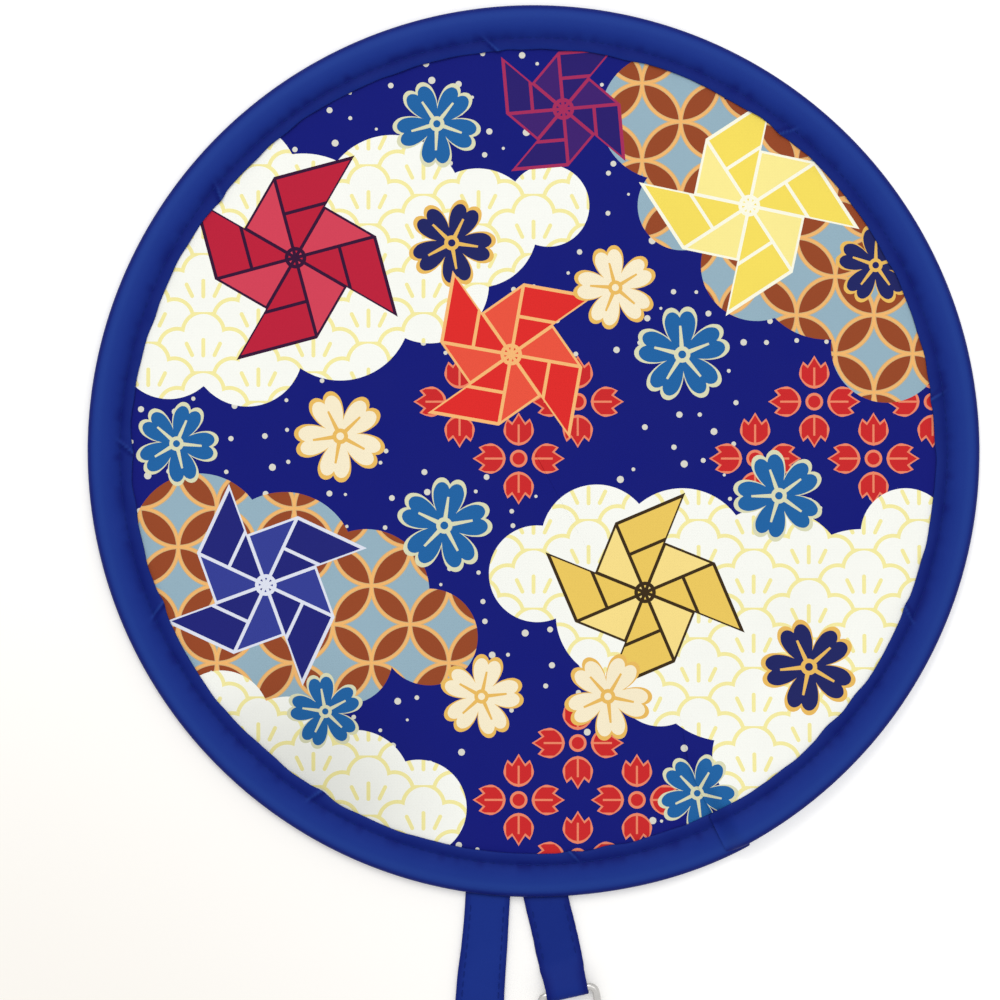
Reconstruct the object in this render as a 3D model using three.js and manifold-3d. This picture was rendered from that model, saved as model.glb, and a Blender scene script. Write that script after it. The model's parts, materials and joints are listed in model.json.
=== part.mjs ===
// A twist-fold hand fan: a printed cloth disc stretched in a sprung wire hoop that coils into small loops.
// Millimetres, +Z up. The fan lies face up on z = 0 with its centre on the Z axis and its straps towards -Y.
import * as THREE from 'three';
import { mergeVertices } from 'three/addons/utils/BufferGeometryUtils.js';
import Module from 'manifold-3d';

// Hoop: rigid links stand for the bending wire and tape, in a chain that runs clockwise from the tape's seam
const OUTER_RADIUS = 120;
const LINK_COUNT = 18;
const LINK_STEPS = 3;
const SECTION_CURVE_STEPS = 3;
const LINK_GAP = 0.3;
const SEAM_ANGLE = 298.7;
const FOLDED_LOOPS = 3;
const LAP_LINKS = 3;
const LAP_CLEARANCE = 0.3;

// Sprung wire
const WIRE_DIAMETER = 1.8;
const WIRE_GAP = 0.3;
const WIRE_SIDES = 8;

// Edge tape: a tube around the wire, and a flat margin of two layers sewn to the sheet
const TUBE_WIDTH = 8.2;
const TUBE_WALL = 0.5;
const TUBE_ROUNDING = 1.8;
const MARGIN_WIDTH = 3.4;
const MARGIN_LAYER = 0.5;

// Printed sheet
const SHEET_THICKNESS = 0.3;
const SHEET_GAP = 0.3;
const SHEET_TUCK = 2.6;

// Straps: each leaves the rim at an angle from straight down, and leans from the radius there
const STRAP_WIDTH = 12;
const STRAP_THICKNESS = 1.2;
const STRAP_LAYER = 0.6;
const STRAP_GAP = 0.3;
const LEFT_STRAP_LENGTH = 85;
const LEFT_STRAP_ANGLE = -5.85;
const LEFT_STRAP_LEAN = 2.65;
const RIGHT_STRAP_LENGTH = 25;
const RIGHT_STRAP_ANGLE = 1.72;
const RIGHT_STRAP_LEAN = 10.8;

// Ring and hook: each has a round bar that turns in the folded end of a strap
const BAR_DIAMETER = 2;
const BAR_GAP = 0.3;
const BAR_SIDES = 8;
const EYE_SIDE_GAP = 0.5;
const RING_DEPTH = 11;
const RING_CORNER = 2;
const RING_POINT_COUNT = 36;
const PLATE_CURVE_STEPS = 12;
const HOOK_EYE_LENGTH = 6.5;
const HOOK_EYE_CORNER = 2;
const HOOK_EYE_POINT_COUNT = 40;
const HOOK_THICKNESS = 3.2;
const HOOK_NECK_WIDTH = 5;
const HOOK_NECK_LENGTH = 3.5;
const CLAW_OUTER_RADIUS = 8.2;
const CLAW_INNER_RADIUS = 5.2;
const MOUTH_START = -35;
const MOUTH_END = 50;
const GATE_WIDTH = 2;
const GATE_WALL = 0.6;
const GATE_THICKNESS = 1.4;
const GATE_GAP = 0.3;
const PIN_ANGLE = 64;
const PIN_DIAMETER = 1.4;
const PIN_GAP = 0.3;
const PIN_SIDES = 12;

// Sizes that follow from the ones above
const radians = THREE.MathUtils.degToRad;
const linkAngle = 2 * Math.PI / LINK_COUNT;
const foldPerJoint = (FOLDED_LOOPS - 1) * linkAngle;
const hoopRadius = OUTER_RADIUS - TUBE_WIDTH / 2;
const tubeInnerRadius = OUTER_RADIUS - TUBE_WIDTH;
const marginInnerRadius = tubeInnerRadius - MARGIN_WIDTH;
const channelRadius = WIRE_DIAMETER / 2 + WIRE_GAP;
const tubeHeight = 2 * (channelRadius + TUBE_WALL);
const wireHeight = tubeHeight / 2;
const sheetRadius = marginInnerRadius + SHEET_TUCK;
const barHole = BAR_DIAMETER / 2 + BAR_GAP;
const strapEyeRadius = barHole + STRAP_LAYER;
const strapHingeRadius = OUTER_RADIUS + STRAP_THICKNESS / 2 + STRAP_GAP;
const barHeight = strapEyeRadius - STRAP_THICKNESS / 2;
const eyeWidth = STRAP_WIDTH + 2 * EYE_SIDE_GAP + BAR_DIAMETER;

const materials = {
  steel: new THREE.MeshStandardMaterial({ color: 0x9a9da1, roughness: 0.35, metalness: 1 }),
  tape: new THREE.MeshStandardMaterial({ color: 0x1b3181, roughness: 0.75, metalness: 0 }),
  sheet: new THREE.MeshStandardMaterial({ color: 0x343f86, roughness: 0.7, metalness: 0 }),
  strap: new THREE.MeshStandardMaterial({ color: 0x1f3c95, roughness: 0.8, metalness: 0 }),
  nickel: new THREE.MeshStandardMaterial({ color: 0xc9cbce, roughness: 0.25, metalness: 1 }),
};

const wasm = await Module();
wasm.setup();

// Boolean work: a closed geometry becomes a solid, and a solid becomes a geometry again
function toSolid(geometry) {
  const bare = geometry.clone();
  bare.deleteAttribute('normal');
  bare.deleteAttribute('uv');
  const merged = mergeVertices(bare, 1e-4);
  return new wasm.Manifold(new wasm.Mesh({
    numProp: 3,
    vertProperties: new Float32Array(merged.attributes.position.array),
    triVerts: new Uint32Array(merged.index.array),
  }));
}

function toGeometry(solid) {
  const mesh = solid.getMesh();
  const geometry = new THREE.BufferGeometry();
  geometry.setAttribute('position', new THREE.Float32BufferAttribute(mesh.vertProperties, 3));
  geometry.setIndex(Array.from(mesh.triVerts));
  geometry.computeVertexNormals();
  return geometry;
}

function named(name, geometry, material) {
  const mesh = new THREE.Mesh(geometry, material);
  mesh.name = name;
  return mesh;
}

// An outline extruded to a thickness that is centred on z = 0
function plate(outline, thickness) {
  const geometry = new THREE.ExtrudeGeometry(outline, {
    depth: thickness, bevelEnabled: false, curveSegments: PLATE_CURVE_STEPS,
  });
  return geometry.translate(0, 0, -thickness / 2);
}

// A round bar bent along a closed outline in the XY plane
function closedBar(outline, pointCount, diameter, sides) {
  const points = outline.getSpacedPoints(pointCount).slice(0, pointCount);
  const positions = [];
  const index = [];
  points.forEach((point, i) => {
    const before = points[(i + pointCount - 1) % pointCount];
    const after = points[(i + 1) % pointCount];
    const along = after.clone().sub(before).normalize();
    for (let side = 0; side < sides; side += 1) {
      const turn = 2 * Math.PI * side / sides;
      const out = diameter / 2 * Math.cos(turn);
      positions.push(point.x + along.y * out, point.y - along.x * out, diameter / 2 * Math.sin(turn));
      const next = (side + 1) % sides;
      const [a, b] = [i * sides + side, ((i + 1) % pointCount) * sides + side];
      const [c, d] = [((i + 1) % pointCount) * sides + next, i * sides + next];
      index.push(a, b, c, a, c, d);
    }
  });
  const geometry = new THREE.BufferGeometry();
  geometry.setAttribute('position', new THREE.Float32BufferAttribute(positions, 3));
  geometry.setIndex(index);
  geometry.computeVertexNormals();
  return geometry;
}

// One link of the hoop: a section swept clockwise about the hoop's centre, from the hinge at the link's origin.
// Section x runs outward from the wire and y up. Inside the wire the ends are cut back, so that links can fold.
function sweepLink(section) {
  const geometry = new THREE.ExtrudeGeometry(section, {
    depth: 1, steps: LINK_STEPS, bevelEnabled: false, curveSegments: SECTION_CURVE_STEPS,
  });
  const place = geometry.attributes.position;
  for (let i = 0; i < place.count; i += 1) {
    const outward = place.getX(i);
    const radius = hoopRadius + outward;
    const cutBack = LINK_GAP / 2 + Math.max(0, -outward) * Math.tan(foldPerJoint / 2);
    const trim = cutBack / radius;
    const angle = trim + place.getZ(i) * (linkAngle - 2 * trim);
    place.setXYZ(i, radius * Math.cos(angle) - hoopRadius, -radius * Math.sin(angle), place.getY(i));
  }
  return geometry;
}

function circle(radius, sides) {
  const points = [];
  for (let side = 0; side < sides; side += 1) {
    const turn = 2 * Math.PI * (side + 0.5) / sides;
    points.push(new THREE.Vector2(radius * Math.cos(turn), radius * Math.sin(turn)));
  }
  return points;
}

function tapeSection() {
  const outer = TUBE_WIDTH / 2;
  const inner = -TUBE_WIDTH / 2;
  const edge = inner - MARGIN_WIDTH;
  const half = tubeHeight / 2;
  const slit = SHEET_THICKNESS / 2 + SHEET_GAP;
  const margin = slit + MARGIN_LAYER;
  const slitEnd = edge + SHEET_TUCK + SHEET_GAP;
  const section = new THREE.Shape();
  section.moveTo(edge, -margin);
  section.lineTo(inner, -margin);
  section.quadraticCurveTo(inner + TUBE_ROUNDING / 2, -half, inner + TUBE_ROUNDING, -half);
  section.lineTo(outer - TUBE_ROUNDING, -half);
  section.quadraticCurveTo(outer, -half, outer, 0);
  section.quadraticCurveTo(outer, half, outer - TUBE_ROUNDING, half);
  section.lineTo(inner + TUBE_ROUNDING, half);
  section.quadraticCurveTo(inner + TUBE_ROUNDING / 2, half, inner, margin);
  section.lineTo(edge, margin);
  section.lineTo(edge, slit);
  section.lineTo(slitEnd, slit);
  section.lineTo(slitEnd, -slit);
  section.lineTo(edge, -slit);
  section.closePath();
  section.holes.push(new THREE.Path(circle(channelRadius, WIRE_SIDES)));
  return section;
}

// The sheet's edge lies between the tape's two layers, and stops short of the tape where the lap climbs away
function printedSheet() {
  const outline = [];
  const pointCount = LINK_COUNT * LINK_STEPS;
  const lapStart = (LINK_COUNT - LAP_LINKS) * LINK_STEPS;
  for (let i = 0; i <= pointCount; i += 1) {
    const turn = radians(SEAM_ANGLE) - 2 * Math.PI * i / pointCount;
    const radii = [];
    if (i <= lapStart) radii.push(sheetRadius);
    if (i >= lapStart) radii.push(marginInnerRadius - 2 * SHEET_GAP);
    radii.forEach((r) => outline.push(new THREE.Vector2(r * Math.cos(turn), r * Math.sin(turn))));
  }
  return plate(new THREE.Shape(outline.reverse()), SHEET_THICKNESS);
}

// A flat strap along -Y from its hinge, leaning from it, with its far end folded round a bar
function strapGeometry(length, lean) {
  const half = STRAP_THICKNESS / 2;
  const meets = Math.asin((barHeight - half) / strapEyeRadius);
  const side = new THREE.Shape();
  side.moveTo(-STRAP_WIDTH, -half);
  side.lineTo(length, -half);
  side.absarc(length, barHeight, strapEyeRadius, -Math.PI / 2, Math.PI + meets, false);
  side.lineTo(-STRAP_WIDTH, half);
  side.closePath();
  const hole = new THREE.Path();
  hole.absarc(length, barHeight, barHole, 0, 2 * Math.PI, true);
  side.holes.push(hole);
  const strap = plate(side, STRAP_WIDTH);
  const lay = new THREE.Matrix4().makeBasis(
    new THREE.Vector3(0, -1, 0), new THREE.Vector3(0, 0, 1), new THREE.Vector3(-1, 0, 0),
  );
  strap.applyMatrix4(lay).rotateZ(lean);
  const behindHinge = new THREE.BoxGeometry(4 * STRAP_WIDTH, 4 * STRAP_WIDTH, 4 * STRAP_WIDTH);
  behindHinge.translate(0, 2 * STRAP_WIDTH, 0);
  return toGeometry(toSolid(strap).subtract(toSolid(behindHinge)));
}

// A D-shaped ring whose straight bar lies on the X axis and whose bow reaches to -Y
function ringGeometry() {
  const side = eyeWidth / 2;
  const outline = new THREE.Path();
  outline.moveTo(side - RING_CORNER, 0);
  outline.lineTo(RING_CORNER - side, 0);
  outline.quadraticCurveTo(-side, 0, -side, -RING_CORNER);
  outline.bezierCurveTo(-side, -RING_DEPTH + RING_CORNER, -side / 2, -RING_DEPTH, 0, -RING_DEPTH);
  outline.bezierCurveTo(side / 2, -RING_DEPTH, side, -RING_DEPTH + RING_CORNER, side, -RING_CORNER);
  outline.quadraticCurveTo(side, 0, side - RING_CORNER, 0);
  return closedBar(outline, RING_POINT_COUNT, BAR_DIAMETER, BAR_SIDES);
}

// Hook: an eye on the strap's bar, a neck, and a round claw whose mouth a gate closes
const clawRadius = (CLAW_OUTER_RADIUS + CLAW_INNER_RADIUS) / 2;
const neckStart = HOOK_EYE_LENGTH - BAR_DIAMETER / 2;
const clawCentre = neckStart + HOOK_NECK_LENGTH + clawRadius;
const clawHalfWidth = (CLAW_OUTER_RADIUS - CLAW_INNER_RADIUS) / 2;
const pinHole = PIN_DIAMETER / 2 + PIN_GAP;
const gateBossRadius = pinHole + GATE_WALL;
const pinPlace = new THREE.Vector2(Math.cos(radians(PIN_ANGLE)), Math.sin(radians(PIN_ANGLE)));
pinPlace.multiplyScalar(clawRadius).add(new THREE.Vector2(0, -clawCentre));

function arcBand(innerRadius, outerRadius, start, end) {
  const band = new THREE.Shape();
  band.absarc(0, -clawCentre, outerRadius, start, end, false);
  band.absarc(0, -clawCentre, innerRadius, end, start, true);
  band.closePath();
  return band;
}

function pinCylinder(radius, length) {
  const pin = new THREE.CylinderGeometry(radius, radius, length, PIN_SIDES);
  return pin.rotateX(Math.PI / 2).translate(pinPlace.x, pinPlace.y, 0);
}

function hookBodyGeometry() {
  const side = eyeWidth / 2;
  const corner = HOOK_EYE_CORNER;
  const eye = new THREE.Path();
  eye.moveTo(side - corner, 0);
  eye.lineTo(corner - side, 0);
  eye.quadraticCurveTo(-side, 0, -side, -corner);
  eye.lineTo(-side, corner - HOOK_EYE_LENGTH);
  eye.quadraticCurveTo(-side, -HOOK_EYE_LENGTH, corner - side, -HOOK_EYE_LENGTH);
  eye.lineTo(side - corner, -HOOK_EYE_LENGTH);
  eye.quadraticCurveTo(side, -HOOK_EYE_LENGTH, side, corner - HOOK_EYE_LENGTH);
  eye.lineTo(side, -corner);
  eye.quadraticCurveTo(side, 0, side - corner, 0);
  const neckLength = clawCentre - neckStart - clawRadius + clawHalfWidth;
  const neck = new THREE.BoxGeometry(HOOK_NECK_WIDTH, neckLength, HOOK_THICKNESS);
  neck.translate(0, -neckStart - neckLength / 2, 0);
  const claw = arcBand(CLAW_INNER_RADIUS, CLAW_OUTER_RADIUS, radians(MOUTH_END), radians(360 + MOUTH_START));
  const slotEnd = radians(PIN_ANGLE) + (gateBossRadius + GATE_GAP) / CLAW_INNER_RADIUS;
  const slot = arcBand(
    CLAW_INNER_RADIUS - clawHalfWidth, CLAW_OUTER_RADIUS + clawHalfWidth, radians(MOUTH_START), slotEnd,
  );
  return toGeometry(
    toSolid(closedBar(eye, HOOK_EYE_POINT_COUNT, BAR_DIAMETER, BAR_SIDES))
      .add(toSolid(neck))
      .add(toSolid(plate(claw, HOOK_THICKNESS)))
      .subtract(toSolid(plate(slot, GATE_THICKNESS + 2 * GATE_GAP)).intersect(gateSlotReach()))
      .subtract(toSolid(pinCylinder(pinHole, 2 * HOOK_THICKNESS))),
  );
}

// The slot for the gate is cut only at the pin's side of the mouth, not into the claw's tip
function gateSlotReach() {
  const reach = CLAW_OUTER_RADIUS + clawHalfWidth;
  const half = new THREE.BoxGeometry(2 * reach, reach, HOOK_THICKNESS);
  return toSolid(half.translate(0, reach / 2 - clawCentre, 0));
}

// A straight gate from its pin to the inside of the claw's tip, where its round end stays clear of the claw
function gateGeometry() {
  const half = GATE_WIDTH / 2;
  const tip = CLAW_INNER_RADIUS * Math.cos(radians(MOUTH_START)) - half - GATE_GAP;
  const drop = Math.sqrt((CLAW_INNER_RADIUS - half - GATE_GAP) ** 2 - tip ** 2);
  const end = new THREE.Vector2(tip, -clawCentre - drop);
  const across = Math.atan2(end.y - pinPlace.y, end.x - pinPlace.x) + Math.PI / 2;
  const gate = new THREE.Shape();
  gate.absarc(pinPlace.x, pinPlace.y, gateBossRadius, across, across + Math.PI, false);
  gate.absarc(end.x, end.y, half, across + Math.PI, across + 2 * Math.PI, false);
  gate.closePath();
  const bore = pinCylinder(pinHole, 2 * GATE_THICKNESS);
  return toGeometry(toSolid(plate(gate, GATE_THICKNESS)).subtract(toSolid(bore)));
}

// The hoop: each link is placed from the one before it, as the links of a chain are
const fan = new THREE.Group();
const tapeLink = sweepLink(tapeSection());
const wireLink = sweepLink(new THREE.Shape(circle(WIRE_DIAMETER / 2, WIRE_SIDES)));
const lapRise = (tubeHeight + LAP_CLEARANCE) / (tubeInnerRadius * Math.sin(LAP_LINKS * linkAngle));

const seamAngle = radians(SEAM_ANGLE);
const seam = new THREE.Group();
seam.position.set(hoopRadius * Math.cos(seamAngle), hoopRadius * Math.sin(seamAngle), wireHeight);
seam.rotation.z = seamAngle;
fan.add(seam);

const links = [seam];
for (let i = 1; i < LINK_COUNT; i += 1) {
  const link = new THREE.Group();
  link.position.set(hoopRadius * (Math.cos(linkAngle) - 1), -hoopRadius * Math.sin(linkAngle), 0);
  link.rotation.z = -linkAngle;
  if (i === LINK_COUNT - LAP_LINKS) link.rotateX(-Math.asin(lapRise));
  links[i - 1].add(link);
  links.push(link);
}
links.forEach((link, i) => {
  const number = String(i + 1).padStart(2, '0');
  link.add(named(`hoop_wire_${number}`, wireLink, materials.steel));
  link.add(named(`edge_tape_${number}`, tapeLink, materials.tape));
});

const sheet = named('printed_sheet', printedSheet(), materials.sheet);
sheet.position.z = wireHeight;
fan.add(sheet);

// The straps: each group sits on its hinge line at the rim, with -Y pointing away from the hoop's centre
function strapAt(angle, length, lean, name) {
  const rim = new THREE.Group();
  const turn = radians(angle);
  rim.position.set(
    strapHingeRadius * Math.sin(turn), -strapHingeRadius * Math.cos(turn), STRAP_THICKNESS / 2,
  );
  rim.rotation.z = turn;
  rim.add(named(name, strapGeometry(length, radians(lean)), materials.strap));
  const end = new THREE.Group();
  end.position.set(length * Math.sin(radians(lean)), -length * Math.cos(radians(lean)), barHeight);
  end.rotation.z = radians(lean);
  rim.add(end);
  fan.add(rim);
  return end;
}

const leftEnd = strapAt(LEFT_STRAP_ANGLE, LEFT_STRAP_LENGTH, LEFT_STRAP_LEAN, 'left_strap');
leftEnd.add(named('hook_body', hookBodyGeometry(), materials.nickel));
leftEnd.add(named('hook_gate', gateGeometry(), materials.nickel));
leftEnd.add(named('hook_pin', pinCylinder(PIN_DIAMETER / 2, HOOK_THICKNESS), materials.nickel));

const rightEnd = strapAt(RIGHT_STRAP_ANGLE, RIGHT_STRAP_LENGTH, RIGHT_STRAP_LEAN, 'right_strap');
const ring = named('d_ring', ringGeometry(), materials.nickel);
ring.rotation.x = Math.asin((strapEyeRadius - BAR_DIAMETER / 2) / RING_DEPTH);
rightEnd.add(ring);

export default fan;
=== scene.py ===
"""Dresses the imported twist-fold hand fan with cloth, edge tape, stitches, straps and metal fittings."""

import json
import math

import bmesh
import bpy
import numpy as np
from bpy.props import FloatProperty, FloatVectorProperty, IntProperty, PointerProperty
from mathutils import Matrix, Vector

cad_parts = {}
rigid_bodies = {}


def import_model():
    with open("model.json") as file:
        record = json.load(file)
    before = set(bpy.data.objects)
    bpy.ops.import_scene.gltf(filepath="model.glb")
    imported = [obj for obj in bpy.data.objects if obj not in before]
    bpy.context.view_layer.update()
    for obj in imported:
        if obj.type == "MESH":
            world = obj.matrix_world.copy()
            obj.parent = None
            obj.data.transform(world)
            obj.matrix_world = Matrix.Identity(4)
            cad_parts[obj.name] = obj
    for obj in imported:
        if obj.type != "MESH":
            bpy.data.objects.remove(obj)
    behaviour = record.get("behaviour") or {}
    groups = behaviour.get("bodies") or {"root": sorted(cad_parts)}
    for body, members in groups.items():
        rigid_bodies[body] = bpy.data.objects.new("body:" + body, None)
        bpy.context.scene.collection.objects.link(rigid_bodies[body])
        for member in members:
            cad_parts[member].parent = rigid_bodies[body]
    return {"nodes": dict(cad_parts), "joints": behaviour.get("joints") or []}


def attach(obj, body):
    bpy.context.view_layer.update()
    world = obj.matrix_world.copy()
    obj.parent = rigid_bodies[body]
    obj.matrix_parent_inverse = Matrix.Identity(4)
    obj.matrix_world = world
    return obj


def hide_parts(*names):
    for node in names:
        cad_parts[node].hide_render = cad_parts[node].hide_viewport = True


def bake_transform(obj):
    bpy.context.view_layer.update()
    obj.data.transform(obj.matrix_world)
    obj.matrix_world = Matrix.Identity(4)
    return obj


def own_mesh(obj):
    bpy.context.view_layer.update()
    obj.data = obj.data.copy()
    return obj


bl_info = {
    "name": "Twist-fold hand fan",
    "version": (1, 0, 0),
    "blender": (4, 5, 0),
    "location": "View3D > Sidebar > Fan",
    "description": "Dresses the packed twist-fold fan with cloth, tape, straps and fittings",
    "category": "Object",
}

for leftover in list(bpy.data.objects):
    bpy.data.objects.remove(leftover)
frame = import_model()
bpy.context.view_layer.update()

# Turns are in degrees clockwise from the tape's lap, and lengths in millimetres where nothing else is said
JOINTS = {joint["name"]: joint for joint in frame["joints"]}
MM = 0.001
ORIGIN = (0.0, 0.0, 0.0)
LINKS = 18
LINK_TURN = 360 / LINKS
LAP_LINKS = 3
LAP_TURN = 360 - LAP_LINKS * LINK_TURN
LAP_SLOPE = 0.0382
LAP_SPAN = (-60, 75)
LAP_EASE = 4.0
FIRST_HINGE = Vector(JOINTS["hoop_fold"]["pos_m"])
HOOP_RADIUS = FIRST_HINGE.xy.length / MM
WIRE_HEIGHT = FIRST_HINGE.z / MM
SEAM = math.degrees(math.atan2(FIRST_HINGE.y, FIRST_HINGE.x)) + LINK_TURN


def srgb(red, green, blue):
    """A colour as Blender's linear numbers, from the three 0 to 255 values of a swatch."""

    def linear(value):
        share = value / 255
        return share / 12.92 if share <= 0.04045 else ((share + 0.055) / 1.055) ** 2.4

    return (linear(red), linear(green), linear(blue))


def length(name, description, millimetres):
    """A length property, given in millimetres."""
    return FloatProperty(
        name=name, description=description, default=millimetres * MM, unit="LENGTH", precision=5
    )


def colour(name, description, swatch):
    """A colour property, given as a swatch's 0 to 255 values."""
    return FloatVectorProperty(
        name=name, description=description, default=srgb(*swatch), subtype="COLOR", min=0, max=1
    )


class FanSizes(bpy.types.PropertyGroup):
    """Sizes that a user may change."""

    cloth_thickness: length("Cloth thickness", "Thickness of the printed cloth", 0.3)
    cloth_edge: length("Cloth edge", "Radius of the cloth's edge inside the tape", 109.4)
    gather: length("Gather", "How far the sewn margin puckers", 0.2)
    layer: length("Strap layer", "Thickness of one layer of a strap", 0.56)
    strap_width: length("Strap width", "Width of both straps", 11.9)
    stitch: length("Stitch", "Length of one stitch", 1.8)
    thread: length("Thread", "Thickness of the sewing thread", 0.3)
    stitches_per_link: IntProperty(
        name="Stitches per link", description="Stitches in one link of the rim", default=16, min=4
    )


class FanColours(bpy.types.PropertyGroup):
    """Colours that a user may change."""

    tape: colour("Tape", "Edge tape and straps", (17, 46, 135))
    # Tape with painted shade, for its folds, groove, seams and edges, the straps' edges and roots, and the
    # thread's twist
    tape_shade: colour("Tape crease", "Tape along its folds and seams", (2, 21, 108))
    # Tape with a painted highlight, for its outer shoulder and its pleats
    tape_highlight: colour("Rubbed tape", "Tape along its outer shoulder", (33, 66, 150))
    thread: colour("Thread", "Sewing thread", (15, 41, 124))
    ground: colour("Ground", "Navy ground of the print", (12, 21, 120))
    dot: colour("Dot", "Dots on the ground", (222, 220, 208))
    cloud: colour("Cloud", "Pale cloud panels", (253, 254, 247))
    pine_line: colour("Pine line", "Line pattern on the clouds", (250, 240, 166))
    ring_lens: colour("Ring lens", "Lenses of the interlocking circles", (152, 72, 38))
    ring_gap: colour("Ring gap", "Gaps of the interlocking circles", (151, 180, 195))
    ring_line: colour("Ring line", "Lines of the interlocking circles", (246, 186, 112))
    ring_edge: colour("Ring line edge", "Soft edges of those lines", (214, 178, 124))
    floret: colour("Floret", "Small red flowers", (207, 40, 42))
    floret_line: colour("Floret line", "Outline of the small flowers", (240, 138, 104))
    blossom_blue: colour("Blue blossom", "Blue blossoms", (30, 100, 165))
    blossom_navy: colour("Navy blossom", "Navy blossoms", (30, 36, 98))
    blossom_pale: colour("Pale blossom", "Pale blossoms", (252, 240, 208))
    blossom_line: colour("Blossom line", "Outline of the blossoms", (222, 222, 186))
    blossom_gold: colour("Pale blossom line", "Outline of the pale blossoms", (238, 190, 96))
    nickel: colour("Nickel", "Plated ring and hook", (205, 203, 200))
    steel: colour("Spring steel", "Hoop wire", (140, 142, 146))


# Shared shapes


def turned(turn, radius):
    """Points in millimetres at turns measured clockwise from the tape's lap."""
    angle = np.radians(SEAM - turn)
    return radius * np.cos(angle), radius * np.sin(angle)


def lap_rise(turn, radius):
    """How far the last links have climbed over the first ones, in millimetres."""
    ahead = np.radians(np.clip(turn - LAP_TURN, *LAP_SPAN))
    along = radius * np.sin(ahead)
    return LAP_SLOPE * (along + np.sqrt(along * along + LAP_EASE**2)) / 2


def eased(value, low, high):
    """0 below low, 1 above high and smooth between."""
    share = np.clip((value - low) / (high - low), 0, 1)
    return share * share * (3 - 2 * share)


def ripple(turn, knots, seed):
    """A smooth uneven wave round the hoop, from -1 to 1."""
    values = np.random.default_rng(seed).uniform(-1, 1, knots)
    place = np.mod(turn, 360) / 360 * knots
    low = np.floor(place).astype(int)
    share = eased(place - low, 0, 1)
    return values[low % knots] * (1 - share) + values[(low + 1) % knots] * share


def unit(vectors):
    """Vectors brought to a length of 1."""
    return vectors / np.linalg.norm(vectors, axis=-1, keepdims=True)


def distances(points):
    """How far along a line each of its points lies."""
    return np.concatenate([[0], np.cumsum(np.linalg.norm(np.diff(points, axis=0), axis=1))])


def add_object(name, data):
    """A new object in the scene."""
    made = bpy.data.objects.new(name, data)
    bpy.context.scene.collection.objects.link(made)
    return made


def apply_modifiers(piece):
    """Turns what a piece's modifiers make into its plain mesh."""
    bpy.context.view_layer.update()
    made = piece.evaluated_get(bpy.context.evaluated_depsgraph_get())
    piece.data = bpy.data.meshes.new_from_object(made)
    piece.data.name = piece.name
    piece.modifiers.clear()


def make_piece(name, points, faces, material, normals=None, uv=None, values=None):
    """A new mesh object from points in metres. normals and uv are given for each corner of each face."""
    mesh = bpy.data.meshes.new(name)
    mesh.from_pydata([tuple(p) for p in points], [], faces)
    mesh.polygons.foreach_set("use_smooth", [True] * len(mesh.polygons))
    if uv is not None:
        layer = mesh.uv_layers.new(name="cloth")
        layer.uv.foreach_set("vector", np.asarray(uv, np.float32).ravel())
    for key, numbers in (values or {}).items():
        attribute = mesh.attributes.new(key, "FLOAT", "POINT")
        attribute.data.foreach_set("value", np.asarray(numbers, np.float32).ravel())
    if normals is not None:
        mesh.normals_split_custom_set([tuple(n) for n in normals])
    mesh.materials.append(material)
    return add_object(name, mesh)


def turn_outwards(mesh):
    """Makes every face of a closed mesh point outwards."""
    shape = bmesh.new()
    shape.from_mesh(mesh)
    bmesh.ops.recalc_face_normals(shape, faces=shape.faces)
    shape.to_mesh(mesh)
    shape.free()


def grid_faces(rows, columns, closed):
    """Four-cornered faces of a grid whose columns may close into a loop."""
    last = columns if closed else columns - 1
    faces = []
    for row in range(rows - 1):
        for column in range(last):
            after = (column + 1) % columns
            faces.append(
                (
                    row * columns + column,
                    row * columns + after,
                    (row + 1) * columns + after,
                    (row + 1) * columns + column,
                )
            )
    return faces


# Node writing


NODE_STEP = (180, -220)
NODES_IN_ROW = 40


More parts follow.
